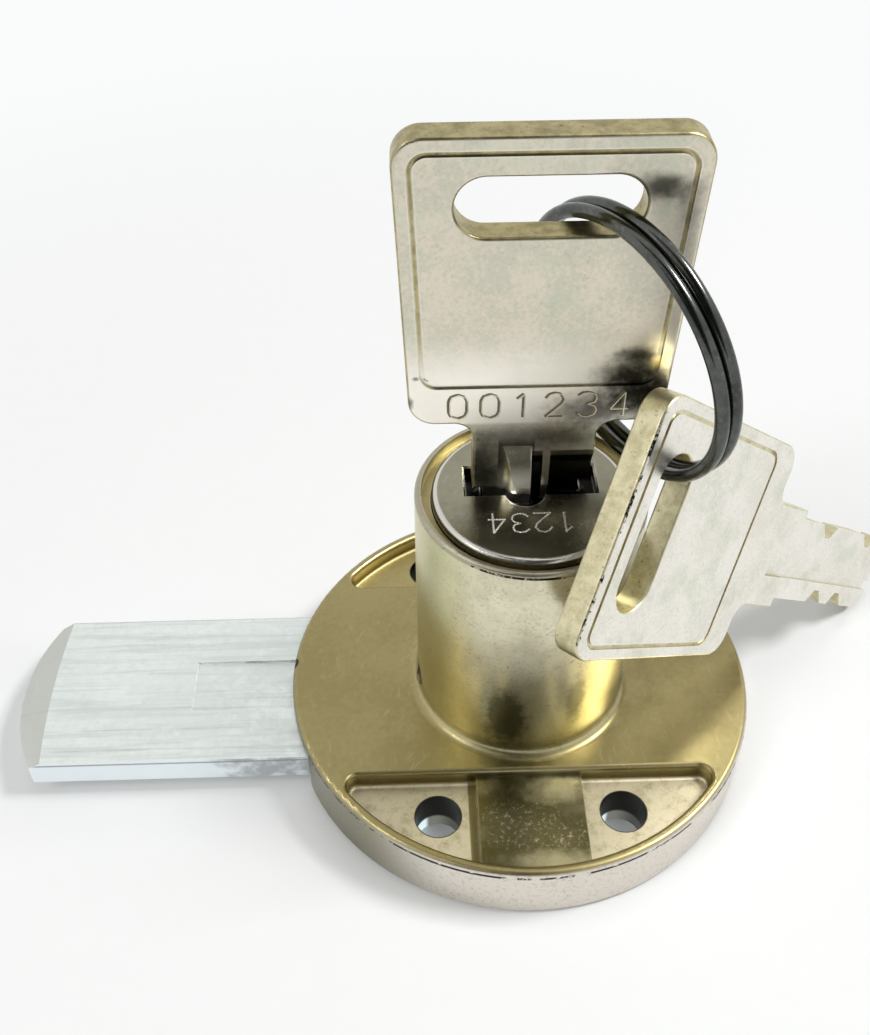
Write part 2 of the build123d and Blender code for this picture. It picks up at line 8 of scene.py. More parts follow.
import logging
import math
from dataclasses import dataclass, field
from enum import Enum
from functools import cached_property
from typing import Dict, List, Mapping, Optional, Sequence, Tuple, Union

import bpy
from mathutils import Matrix, Vector


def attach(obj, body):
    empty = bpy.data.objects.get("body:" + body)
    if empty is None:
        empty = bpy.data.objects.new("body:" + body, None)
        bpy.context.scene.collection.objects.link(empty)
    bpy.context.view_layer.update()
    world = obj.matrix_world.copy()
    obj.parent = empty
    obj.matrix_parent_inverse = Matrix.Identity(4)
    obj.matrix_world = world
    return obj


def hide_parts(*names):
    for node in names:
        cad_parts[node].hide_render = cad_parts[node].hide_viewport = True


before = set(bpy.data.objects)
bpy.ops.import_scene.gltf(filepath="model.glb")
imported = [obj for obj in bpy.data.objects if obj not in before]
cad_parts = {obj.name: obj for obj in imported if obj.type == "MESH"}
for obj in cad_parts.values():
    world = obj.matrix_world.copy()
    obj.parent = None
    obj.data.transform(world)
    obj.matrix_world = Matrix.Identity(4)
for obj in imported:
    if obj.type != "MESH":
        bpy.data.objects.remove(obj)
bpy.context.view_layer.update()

Colour = Tuple[float, float, float]
Triple = Tuple[float, float, float]
Socket = bpy.types.NodeSocket
Feed = Union[Socket, float, Sequence[float]]
Span = Tuple[float, float]
Band = Tuple[float, float, float]
Stroke = Tuple[Span, ...]
Sockets = Mapping[str, Socket]

MM = 0.001
ORIGIN = (0.0, 0.0, 0.0)
WHITE = (1.0, 1.0, 1.0, 1.0)
LEVEL = (1.0, 1.0, 0.0)
NUMBER_OPERATIONS = ("DOT_PRODUCT", "LENGTH", "DISTANCE")
LOG = logging.getLogger("rim_lock")


class Way(Enum):
    """The lock's own directions: right, back and up."""

    X = (1.0, 0.0, 0.0)
    Y = (0.0, 1.0, 0.0)
    Z = (0.0, 0.0, 1.0)


class Graph:
    """A node tree with short calls for the nodes that the finishes use.

    A mixing node has sockets of the same name for each type of data, so they are found by number.
    """

    def __init__(self, tree: bpy.types.NodeTree) -> None:
        """Wrap the shader tree of a material, a world or a group."""
        self.tree = tree

    def feed(self, socket: Socket, value: Feed) -> None:
        """Link a socket, or set its value.

        Args:
            socket: the input to fill.
            value: another node's output, or a number, colour or vector.
        """
        if isinstance(value, Socket):
            self.tree.links.new(value, socket)
        elif isinstance(value, (int, float)):
            socket.default_value = value
        else:
            missing = len(socket.default_value) - len(value)
            socket.default_value = tuple(value) + (1.0,) * missing

    def add(self, kind: str, inputs: Optional[Mapping[Union[str, int], Feed]] = None,
            **settings: object) -> bpy.types.Node:
        """Add a node.

        Args:
            kind: the node's type, without the words ShaderNode.
            inputs: values by socket name or number.
            settings: properties of the node.

        Returns:
            The new node.
        """
        node = self.tree.nodes.new("ShaderNode" + kind)
        for name, value in settings.items():
            setattr(node, name, value)
        for key, value in (inputs or {}).items():
            self.feed(node.inputs[key], value)
        return node

    def group(self, tree: bpy.types.NodeTree, inputs: Mapping[str, Feed]) -> Sockets:
        """Place a node group and return its outputs by name."""
        return self.add("Group", inputs, node_tree=tree).outputs

    def math(self, operation: str, a: Feed, b: Feed = 0.0, c: Feed = 0.0) -> Socket:
        """Return the result of a maths node with up to three values."""
        return self.add("Math", {0: a, 1: b, 2: c}, operation=operation).outputs[0]

    def times(self, *values: Feed) -> Socket:
        """Return the product of two or more numbers.

        Args:
            values: the numbers.

        Returns:
            Their product.
        """
        product = values[0]
        for value in values[1:]:
            product = self.math("MULTIPLY", product, value)
        return product

    def vector(self, operation: str, a: Feed, b: Feed = ORIGIN) -> Socket:
        """Return a vector maths node's result, a number for a dot product or a length."""
        node = self.add("VectorMath", {0: a, 1: b}, operation=operation)
        return node.outputs["Value" if operation in NUMBER_OPERATIONS else "Vector"]

    def mix(self, share: Feed, a: Feed, b: Feed) -> Socket:
        """Mix two colours by the second one's share."""
        return self.add("Mix", {0: share, 6: a, 7: b}, data_type="RGBA").outputs[2]

    def lean(self, share: Feed, a: Feed, b: Feed) -> Socket:
        """Mix two numbers by the second one's share."""
        return self.add("Mix", {0: share, 2: a, 3: b}, data_type="FLOAT").outputs[0]

    def smooth(self, value: Feed, low: Feed, high: Feed) -> Socket:
        """Rise smoothly from 0 to 1 as a value goes from the low level to the high one."""
        levels = {"Value": value, "From Min": low, "From Max": high}
        return self.add("MapRange", levels, interpolation_type="SMOOTHSTEP").outputs[0]

    def between(self, value: Feed, low: float, high: float, feather: float) -> Socket:
        """Return a mask that is 1 between two levels and falls to 0 within the feather past each."""
        values = {"Value": value, "Low": low, "High": high, "Feather": feather}
        return self.group(EFFECTS.window, values)["Mask"]

    def noise(self, vector: Feed, scale: Feed, detail: float = 3.0, rough: float = 0.55) -> Socket:
        """Return noise, mostly between 0.3 and 0.7, whose scale is its lumps to a millimetre."""
        inputs = {"Vector": vector, "Scale": scale, "Detail": detail, "Roughness": rough}
        return self.add("TexNoise", inputs).outputs[0]

    def spot(self) -> Socket:
        """Return the place on the lock at rest, in millimetres."""
        place = self.add("TexCoord").outputs["Object"]
        return self.add("VectorMath", {0: place, "Scale": 1.0 / MM}, operation="SCALE").outputs["Vector"]

    def facing(self, way: Triple) -> Socket:
        """Return how far the surface faces a direction of the lock at rest, from -1 to 1."""
        return self.vector("DOT_PRODUCT", self.add("TexCoord").outputs["Normal"], way)

    def part(self, vector: Socket, way: Way) -> Socket:
        """Return a vector's share along one axis."""
        return self.vector("DOT_PRODUCT", vector, way.value)

    def radius(self, spot: Socket) -> Socket:
        """Return the distance from the upright axis."""
        return self.vector("LENGTH", self.vector("MULTIPLY", spot, LEVEL))


class Effects:
    """Shared effects, each built once as a node group."""

    cloud_levels: Span = (0.34, 0.66)
    cloud_finer: float = 14.0
    pit_levels: Span = (-0.02, 0.06)
    pit_crowd: float = 0.12
    pit_least: float = 0.3
    scuff_turns: Triple = (0.4, 1.3, 2.5)
    scuff_tilt: float = 0.7
    scuff_levels: Span = (0.62, 0.72)
    scuff_crowd: float = 0.15
    crowd_levels: Span = (0.42, 0.62)
    wear_noise: Triple = (1.1, 4.0, 0.65)
    wear_levels: Span = (0.35, 0.65)

    def __init__(self) -> None:
        """Build every group."""
        self.cloud = self.build_cloud()
        self.pits = self.build_pits()
        self.scuffs = self.build_scuffs()
        self.wear = self.build_wear()
        self.window = self.build_window()
        self.stain = self.build_stain()

    @staticmethod
    def new_group(name: str, gives: Sequence[str], **takes: Feed) -> Tuple[Graph, Sockets, Sockets]:
        """Start a group with named sockets.

        Args:
            name: the group's name.
            gives: names of the outputs, all numbers but Colour.
            takes: inputs, each with its first value.

        Returns:
            The group's graph, its inputs as outputs of the inside node, and its output sockets.
        """
        tree = bpy.data.node_groups.new(name, "ShaderNodeTree")
        for key, value in takes.items():
            kind = "Float" if isinstance(value, float) else "Vector" if len(value) == 3 else "Color"
            socket = tree.interface.new_socket(name=key, in_out="INPUT", socket_type="NodeSocket" + kind)
            socket.default_value = value
        for key in gives:
            kind = "Color" if key == "Colour" else "Float"
            tree.interface.new_socket(name=key, in_out="OUTPUT", socket_type="NodeSocket" + kind)
        inside = tree.nodes.new("NodeGroupInput")
        outside = tree.nodes.new("NodeGroupOutput")
        return Graph(tree), {s.name: s for s in inside.outputs}, {s.name: s for s in outside.inputs}

    def build_cloud(self) -> bpy.types.NodeTree:
        """Build soft patches of two colours.

        Returns:
            The group.
        """
        graph, take, give = self.new_group("Cloudy tint", ("Colour", "Mask"), Vector=ORIGIN, Scale=0.12,
                                           First=WHITE, Second=WHITE, Fine=0.35)
        broad = graph.noise(take["Vector"], take["Scale"], 4.0)
        fine = graph.noise(take["Vector"], graph.times(take["Scale"], self.cloud_finer), 3.0, 0.6)
        lifted = graph.times(graph.math("SUBTRACT", fine, 0.5), take["Fine"])
        mask = graph.smooth(graph.math("ADD", broad, lifted), *self.cloud_levels)
        graph.feed(give["Mask"], mask)
        graph.feed(give["Colour"], graph.mix(mask, take["First"], take["Second"]))
        return graph.tree

    def build_pits(self) -> bpy.types.NodeTree:
        """Build small scattered pits, with fewer or more of them in patches.

        Returns:
            The group.
        """
        graph, take, give = self.new_group("Pitting", ("Mask", "Height"), Vector=ORIGIN, Scale=1.5, Share=0.3)
        cells = graph.add("TexVoronoi", {"Vector": take["Vector"], "Scale": take["Scale"], "Randomness": 1.0})
        crowd = graph.noise(take["Vector"], graph.times(take["Scale"], self.pit_crowd), 3.0, 0.6)
        size = graph.times(graph.math("SUBTRACT", crowd, self.pit_least), take["Share"])
        mask = graph.smooth(graph.math("SUBTRACT", size, cells.outputs["Distance"]), *self.pit_levels)
        graph.feed(give["Mask"], mask)
        graph.feed(give["Height"], graph.math("SUBTRACT", 1.0, mask))
        return graph.tree

    def build_scuffs(self) -> bpy.types.NodeTree:
        """Build fine short lines of several headings, broken up in patches.

        Returns:
            The group.
        """
        graph, take, give = self.new_group("Scuffs", ("Mask",), Vector=ORIGIN, Scale=2.4, Stretch=0.12,
                                           Share=0.4)
        squeeze = graph.add("CombineXYZ", {0: 1.0, 1: take["Stretch"], 2: 1.0}).outputs[0]
        total: Feed = 0.0
        for turn in self.scuff_turns:
            heading = (turn, self.scuff_tilt * turn, turn)
            laid = graph.add("Mapping", {"Vector": take["Vector"], "Rotation": heading}).outputs[0]
            lines = graph.noise(graph.vector("MULTIPLY", laid, squeeze), take["Scale"], 2.0, 0.5)
            total = graph.math("MAXIMUM", total, graph.smooth(lines, *self.scuff_levels))
        crowd = graph.noise(take["Vector"], graph.times(take["Scale"], self.scuff_crowd), 2.0)
        patchy = graph.smooth(crowd, *self.crowd_levels)
        graph.feed(give["Mask"], graph.times(total, patchy, take["Share"]))
        return graph.tree

    def build_wear(self) -> bpy.types.NodeTree:
        """Build a mask of the edges, where the finish rubs off first.

        Returns:
            The group.
        """
        graph, take, give = self.new_group("Edge wear", ("Mask",), Vector=ORIGIN, Radius=0.0003, Gain=6.0,
                                           Break=0.5)
        rounded = graph.add("Bevel", {"Radius": take["Radius"]}, samples=4)
        likeness = graph.vector("DOT_PRODUCT", rounded.outputs[0], graph.add("NewGeometry").outputs["Normal"])
        bend = graph.times(graph.math("SUBTRACT", 1.0, likeness), take["Gain"])
        patchy = graph.smooth(graph.noise(take["Vector"], *self.wear_noise), *self.wear_levels)
        broken = graph.math("MULTIPLY_ADD", graph.math("SUBTRACT", patchy, 1.0), take["Break"], 1.0)
        graph.feed(give["Mask"], graph.math("MINIMUM", graph.times(bend, broken), 1.0))
        return graph.tree

    def build_window(self) -> bpy.types.NodeTree:
        """Build a mask that is 1 while a value is between two levels.

        Returns:
            The group.
        """
        graph, take, give = self.new_group("Window", ("Mask",), Value=0.0, Low=0.0, High=1.0, Feather=0.1)
        rise = graph.smooth(take["Value"], graph.math("SUBTRACT", take["Low"], take["Feather"]), take["Low"])
        fall = graph.smooth(take["Value"], graph.math("ADD", take["High"], take["Feather"]), take["High"])
        graph.feed(give["Mask"], graph.times(rise, fall))
        return graph.tree

    def build_stain(self) -> bpy.types.NodeTree:
        """Build a soft blot around a point, with a ragged outline.

        Returns:
            The group.
        """
        graph, take, give = self.new_group("Stain", ("Mask",), Vector=ORIGIN, Centre=ORIGIN,
                                           Radii=(1.0, 1.0, 1.0), Noise=0.5, Ragged=0.6, Soft=0.3)
        offset = graph.vector("SUBTRACT", take["Vector"], take["Centre"])
        bent = graph.times(graph.math("SUBTRACT", take["Noise"], 0.5), take["Ragged"])
        length = graph.vector("LENGTH", graph.vector("DIVIDE", offset, take["Radii"]))
        outer, inner = (graph.math(way, 1.0, take["Soft"]) for way in ("ADD", "SUBTRACT"))
        graph.feed(give["Mask"], graph.smooth(graph.math("ADD", length, bent), outer, inner))
        return graph.tree


EFFECTS = Effects()


@dataclass(frozen=True)
class Mottle:
    """Patches of noise: the two levels of it between which they come up, and how strong they are."""

    scale: float
    detail: float
    rough: float
    low: float
    high: float
    share: float = 1.0


@dataclass(frozen=True)
class Blot:
    """A soft mark on a surface."""

    centre: Triple
    radii: Triple
    share: float = 1.0
    colour: Colour = (0.03, 0.028, 0.018)
    ragged: float = 1.2
    soft: float = 0.4


class Surface(Graph):
    """A metal finish that is being laid: where a place on it is, and its colour and roughness so far."""

    def __init__(self, tree: bpy.types.NodeTree) -> None:
        """Find the place on the lock.

        Args:
            tree: the material's tree.
        """
        super().__init__(tree)
        self.place = self.spot()
        self.colour: Feed = ORIGIN
        self.rough: Feed = 0.0

    @cached_property
    def x(self) -> Socket:
        """Return how far right of the barrel's axis the place is."""
        return self.part(self.place, Way.X)

    @cached_property
    def y(self) -> Socket:
        """Return how far behind the barrel's axis the place is."""
        return self.part(self.place, Way.Y)

    @cached_property
    def z(self) -> Socket:
        """Return how high the place is."""
        return self.part(self.place, Way.Z)

    @cached_property
    def reach(self) -> Socket:
        """Return how far from the barrel's axis the place is."""
        return self.radius(self.place)

    @cached_property
    def upward(self) -> Socket:
        """Return how far the surface faces up."""
        return self.facing(Way.Z.value)

    def paint(self, mask: Feed, colour: Feed) -> None:
        """Lay a colour where a mask shows."""
        self.colour = self.mix(mask, self.colour, colour)

    def roughen(self, mask: Feed, rough: float) -> None:
        """Give a roughness to where a mask shows."""
        self.rough = self.lean(mask, self.rough, rough)

    def effect(self, tree: bpy.types.NodeTree, **inputs: Feed) -> Sockets:
        """Place a shared effect on the surface and return its outputs by name."""
        return self.group(tree, {"Vector": self.place, **inputs})

    def where(self, *masks: Feed, **levels: Union[Span, Band]) -> Socket:
        """Return a mask of the places that other masks share and whose readings pass their levels.

        Args:
            masks: other masks and shares.
            levels: a span or a band for each reading, by the reading's name.

        Returns:
            The mask.
        """
        passed = [(self.smooth if len(level) == 2 else self.between)(getattr(self, name), *level)
                  for name, level in levels.items()]
        return self.times(*masks, *passed)

    def mottle(self, kind: Mottle, vector: Optional[Socket] = None) -> Socket:
        """Return a mask of patches.

        Args:
            kind: the patches.
            vector: where their noise is read, if not at the place itself.

        Returns:
            The mask.
        """
        noise = self.noise(self.place if vector is None else vector, kind.scale, kind.detail, kind.rough)
        mask = self.smooth(noise, kind.low, kind.high)
        return mask if kind.share == 1.0 else self.times(mask, kind.share)

    def blot(self, blot: Blot, wobble: Socket) -> Socket:
        """Return the mask of a blot whose outline follows a noise."""
        return self.effect(EFFECTS.stain, Centre=blot.centre, Radii=blot.radii, Noise=wobble,
                           Ragged=blot.ragged, Soft=blot.soft)["Mask"]


@dataclass(frozen=True)
class Finish:
    """A worn metal finish: two tints in soft patches, pits, scuffs, rubbed edges and dark blots.

    A span is two levels, in millimetres or as a share of facing up: its mask is 0 at the first one
    and 1 at the second. A band is two levels and a feather: its mask is 1 between them.
    """

    name: str
    base: Colour
    shade: Colour
    edge: Colour
    pit: Colour
    roughness: float = 0.32
    roughness_spread: float = 0.14
    pit_roughness: float = 0.3
    cloud_scale: float = 0.14
    fine: float = 0.35
    pit_scale: float = 1.6
    pit_share: float = 0.3
    scuff_scale: float = 2.4
    scuff_stretch: float = 0.12
    scuff_share: float = 0.3
    wear_radius: float = 0.25
    wear_gain: float = 5.0
    wear_break: float = 0.6
    grain_scale: float = 5.0
    grain_depth: float = 0.35
    relief: float = 0.02
    bump: float = 0.5
    metallic: float = 1.0
    blots: Tuple[Blot, ...] = ()
    blot_wobble: Triple = (1.3, 4.0, 0.6)
    # Colour of chipped places, and of painted shade in some finishes.
    bare_and_shade: Colour = (0.02, 0.018, 0.014)

    def tint(self, face: Surface) -> None:
        """Add the tints that only this finish has; the plain one has none."""

    def chips_and_shade(self, face: Surface) -> Optional[Socket]:
        """Return a mask of the places where the plate is gone, and in some finishes of painted shade; the
        plain finish has none.
        """
        return None

    def glow(self, face: Surface) -> Optional[Socket]:
        """Return the colour of a painted glow, emission that stands in for light from below; the plain finish
        has none.
        """
        return None

    def mark(self, face: Surface) -> None:
        """Lay the chipped places and painted shade, then the blots, over what is there.

        Args:
            face: the surface.
        """
        chips_and_shade = self.chips_and_shade(face)
        if chips_and_shade is not None:
            face.paint(chips_and_shade, self.bare_and_shade)
        wobble = face.noise(face.place, *self.blot_wobble) if self.blots else None
        for blot in self.blots:
            face.paint(face.times(face.blot(blot, wobble), blot.share), blot.colour)

    def layers(self, face: Surface) -> Socket:
        """Lay the patches, pits, scuffs, edges and blots over each other.

        Args:
            face: the surface.

        Returns:
            Its height.
        """
        cloud = face.effect(EFFECTS.cloud, Scale=self.cloud_scale, First=self.base, Second=self.shade,
                            Fine=self.fine)
        face.colour = cloud["Colour"]
        uneven = face.math("SUBTRACT", cloud["Mask"], 0.5)
        face.rough = face.math("MULTIPLY_ADD", uneven, self.roughness_spread, self.roughness)
        self.tint(face)
        scuffs = face.effect(EFFECTS.scuffs, Scale=self.scuff_scale, Stretch=self.scuff_stretch,
                             Share=self.scuff_share)
        wear = face.effect(EFFECTS.wear, Radius=self.wear_radius * MM, Gain=self.wear_gain,
                           Break=self.wear_break)
        pits = face.effect(EFFECTS.pits, Scale=self.pit_scale, Share=self.pit_share)
        for effect, colour in ((scuffs, self.edge), (wear, self.edge), (pits, self.pit)):
            face.paint(effect["Mask"], colour)
        face.rough = face.math("MULTIPLY_ADD", pits["Mask"], self.pit_roughness, face.rough)
        self.mark(face)
        return face.math("MULTIPLY_ADD", face.noise(face.place, self.grain_scale, 2.0), self.grain_depth,
                         pits["Height"])

    def build(self) -> bpy.types.Material:
        """Lay the finish.

        Returns:
            Its material.
        """
        material = bpy.data.materials.new(self.name)
        material.use_nodes = True
        face = Surface(material.node_tree)
        shader = material.node_tree.nodes["Principled BSDF"]
        relief = {"Strength": self.bump, "Distance": self.relief * MM, "Height": self.layers(face)}
        glow = self.glow(face)
        inputs = {"Base Color": face.colour, "Roughness": face.rough, "Metallic": self.metallic,
                  "Normal": face.add("Bump", relief).outputs[0]}
        # A painted glow: emission that stands in for light.
        if glow is not None:
            inputs.update({"Emission Color": glow, "Emission Strength": 1.0})
        for name, value in inputs.items():
            face.feed(shader.inputs[name], value)
        return material


@dataclass(frozen=True)
class CastingPlate(Finish):
    """Plating of the casting: olive on the flange, paler round the sides, chipped along the rims."""

    barrel: Colour = (0.80, 0.77, 0.59)
    barrel_shade: Colour = (0.64, 0.60, 0.44)
    barrel_scuff: Colour = (0.30, 0.275, 0.18)
    barrel_low_reflection: Colour = (0.55, 0.51, 0.27)
    barrel_roughness: float = 0.3
    lip: Colour = (0.42, 0.39, 0.29)
    rim: Colour = (0.73, 0.68, 0.61)
    rim_left_shade: Colour = (0.28, 0.265, 0.185)
    rim_speckle: Colour = (0.40, 0.35, 0.28)
    floor: Colour = (0.60, 0.54, 0.38)
    floor_roughness: float = 0.5
    # Dark olive: painted shade on the pocket walls and in a strip beside each pad, and dirt in patches on the
    # floors and the flange's right.
    wall: Colour = (0.22, 0.185, 0.08)
    pad_dark: Colour = (0.15, 0.13, 0.05)
    pad_burnish_and_glint: Colour = (0.86, 0.80, 0.58)
    pad_roughness: float = 0.27
    # Emission colours of a painted glow in the screw holes, from left to right.
    hole_glow_left: Colour = (0.72, 0.88, 0.93)
    hole_glow_middle: Colour = (0.17, 0.175, 0.145)
    hole_glow_right: Colour = (0.05, 0.055, 0.05)

    lumps: Mottle = Mottle(0.3, 6.0, 0.75, 0.44, 0.7, 0.5)
    tone: Mottle = Mottle(0.22, 4.0, 0.6, 0.4, 0.66)
    speckle: Mottle = Mottle(3.0, 5.0, 0.75, 0.5, 0.66)
    rim_specks: float = 0.5
    barrel_specks: float = 0.3
    grime_and_shade: Mottle = Mottle(0.9, 6.0, 0.75, 0.45, 0.7, 0.5)
    flecks: Mottle = Mottle(2.6, 5.0, 0.8, 0.54, 0.62)
    burnish: Mottle = Mottle(0.4, 4.0, 0.55, 0.42, 0.75, 0.3)
    fuzz_scale: float = 3.4
    fuzz_stretch: float = 0.22
    fuzz_share: float = 0.5
    low_share: float = 0.7
    left_share: float = 0.75
    pad_wobble: Triple = (0.8, 5.0, 0.7)
    chip_noise: Triple = (0.5, 5.0, 0.75)
    chip_nearer: float = 0.12

    upright: Span = (0.9, 0.4)
    lumpy_side: Span = (4.0, 11.0)
    barrel_foot: Span = (13.0, 9.9)
    barrel_fall: Span = (19.0, 9.0)
    barrel_right: Span = (9.0, 3.5)
    barrel_left: Span = (-3.5, -7.5)
    lip_rise: Span = (27.25, 27.4)
    lip_edge: Span = (9.3, 9.2)
    rim_edge: Span = (19.35, 19.9)
    rim_turn: Span = (-7.0, -15.0)
    pocket_outside: Span = (19.45, 19.2)
    pocket_inside: Span = (9.95, 10.4)
    floor_rise: Span = (4.85, 4.5)
    floor_front: Span = (0.0, -10.0)
    wall_rise: Span = (5.4, 4.9)
    pad_foot: Band = (-5.05, -4.4, 0.12)
    pad_rise: Band = (4.9, 5.1, 0.05)
    pad_sides: Band = (-4.42, 4.42, 0.03)
    chip_front: Span = (-4.0, -9.0)
    chip_break: Span = (0.56, 0.6)
    rim_chip_rise: Band = (5.16, 5.38, 0.06)
    rim_chip_edge: Span = (19.9, 20.1)
    lip_chip_rise: Band = (27.3, 27.5, 0.05)
    lip_chip_edge: Band = (8.7, 9.1, 0.05)
    glow_rise: Span = (1.5, 1.1)
    glow_edge: Span = (2.3, 2.2)
    glow_left: Span = (-0.7, -1.1)
    glow_middle: Span = (1.6, -0.4)
    pad_patches: Tuple[Tuple[Blot, float], ...] = tuple(
        (Blot(centre, radii, share, ragged=2.2, soft=0.9), fleck)
        for centre, radii, share, fleck in (((2.2, -12.0, 5.0), (2.3, 1.1, 1.0), 0.9, 0.0),
                                            ((1.6, -18.6, 5.0), (3.2, 0.9, 1.0), 0.6, 0.0),
                                            ((-0.4, -15.2, 5.0), (2.8, 2.0, 1.0), 0.2, 1.0),
                                            ((2.6, -16.4, 5.0), (1.8, 1.6, 1.0), 0.15, 0.8)))

    def tint(self, face: Surface) -> None:
        """Give the flange's right, the barrel, the rim and the pockets their own tints, with painted shade on
        the rim's left.

        Args:
            face: the surface.
        """
        steep = face.where(upward=self.upright)
        speckle = face.mottle(self.speckle)
        face.paint(face.where(face.mottle(self.lumps), x=self.lumpy_side), self.wall)
        self.tint_barrel(face, steep, speckle)
        # The rim's left side is painted darker, as shade.
        rim = face.mix(face.where(x=self.rim_turn), self.rim, self.rim_left_shade)
        face.paint(face.where(steep, reach=self.rim_edge),
                   face.mix(face.times(speckle, self.rim_specks), rim, self.rim_speckle))
        self.tint_pockets(face, steep)

    def tint_barrel(self, face: Surface, steep: Socket, speckle: Socket) -> None:
        """Tint the barrel's side, with a painted reflection low down and on the left, and the lip round its
        mouth.

        Args:
            face: the surface.
            steep: the mask of upright surfaces.
            speckle: the mask of fine specks.
        """
        # Painted reflection: the barrel is tinted darker gold low down, away from its right, and on its left.
        low = face.where(self.low_share, z=self.barrel_fall, x=self.barrel_right)
        left = face.where(self.left_share, x=self.barrel_left)
        plating_and_reflection = face.mix(face.math("MAXIMUM", low, left),
                           face.mix(face.mottle(self.tone), self.barrel, self.barrel_shade), self.barrel_low_reflection)
        fuzz = face.effect(EFFECTS.scuffs, Scale=self.fuzz_scale, Stretch=self.fuzz_stretch,
                           Share=self.fuzz_share)["Mask"]
        marks = face.math("MAXIMUM", fuzz, face.times(speckle, self.barrel_specks))
        on_barrel = face.where(steep, reach=self.barrel_foot)
        face.paint(on_barrel, face.mix(marks, plating_and_reflection, self.barrel_scuff))
        face.roughen(on_barrel, self.barrel_roughness)
        face.paint(face.where(z=self.lip_rise, reach=self.lip_edge),
                   face.mix(face.times(speckle, self.rim_specks), self.lip, self.barrel_scuff))

    def tint_pockets(self, face: Surface, steep: Socket) -> None:
        """Tint the floors and pads of the pockets, with painted shade on their upright sides and beside each
        pad.

        Args:
            face: the surface.
            steep: the mask of upright surfaces.
        """
        level = face.math("SUBTRACT", 1.0, steep)
        inside = face.where(face.where(reach=self.pocket_outside), reach=self.pocket_inside)
        bottom = face.where(inside, level, z=self.floor_rise)
        face.paint(face.where(bottom, y=self.floor_front),
                   face.mix(face.mottle(self.grime_and_shade), self.floor, self.wall))
        face.roughen(bottom, self.floor_roughness)
        # Painted shadow in a strip on the floor beside each pad, and painted shade down the pocket walls.
        pad_shadow = face.where(bottom, x=self.pad_foot)
        walls = face.where(steep, inside, z=self.wall_rise)
        face.paint(face.math("MAXIMUM", pad_shadow, walls), self.wall)

        on_pad = face.where(level, inside, z=self.pad_rise, x=self.pad_sides)
        # The pads' bright flecks are painted glints over burnished patches.
        face.paint(on_pad, face.mix(self.pad_burnish_and_glints(face), self.pad_dark, self.pad_burnish_and_glint))
        face.roughen(on_pad, self.pad_roughness)

    def pad_burnish_and_glints(self, face: Surface) -> Socket:
        """Return a mask of the bright flecks, which are painted glints, and the burnished patches of the
        pads.

        Args:
            face: the surface.

        Returns:
            The mask.
        """
        wobble = face.noise(face.place, *self.pad_wobble)
        flecks = face.mottle(self.flecks)
        total = face.mottle(self.burnish)
        for blot, fleck in self.pad_patches:
            strength = face.math("MULTIPLY_ADD", flecks, fleck, blot.share)
            total = face.math("MAXIMUM", total, face.times(face.blot(blot, wobble), strength))
        return total

    def chips_and_shade(self, face: Surface) -> Optional[Socket]:
        """Break a dark line along the rims of the flange and the barrel.

        Args:
            face: the surface.

        Returns:
            The mask of the line.
        """
        nearer = face.where(self.chip_nearer, y=self.chip_front)
        noise = face.math("ADD", nearer, face.noise(face.place, *self.chip_noise))
        flange = face.where(z=self.rim_chip_rise, reach=self.rim_chip_edge)
        lip = face.where(z=self.lip_chip_rise, reach=self.lip_chip_edge)
        return face.times(face.math("MAXIMUM", flange, lip), face.smooth(noise, *self.chip_break))

    def glow(self, face: Surface) -> Optional[Socket]:
        """Paint a glow up the deep half of the screw holes, emission that stands in for daylight from the
        table.

        Args:
            face: the surface.

        Returns:
            The painted glow's colour, black everywhere else.
        """
        low = face.where(z=self.glow_rise)
        total: Feed = ORIGIN
        for hole in SCREW_HOLES:
            offset = face.vector("SUBTRACT", face.place, hole.centre)
            across = face.part(offset, Way.X)
            within = face.smooth(face.radius(offset), *self.glow_edge)
            right = face.mix(face.smooth(across, *self.glow_middle), self.hole_glow_right, self.hole_glow_middle)
            shone = face.mix(face.smooth(across, *self.glow_left), right, self.hole_glow_left)
            total = face.mix(face.times(low, within), total, shone)
        return total


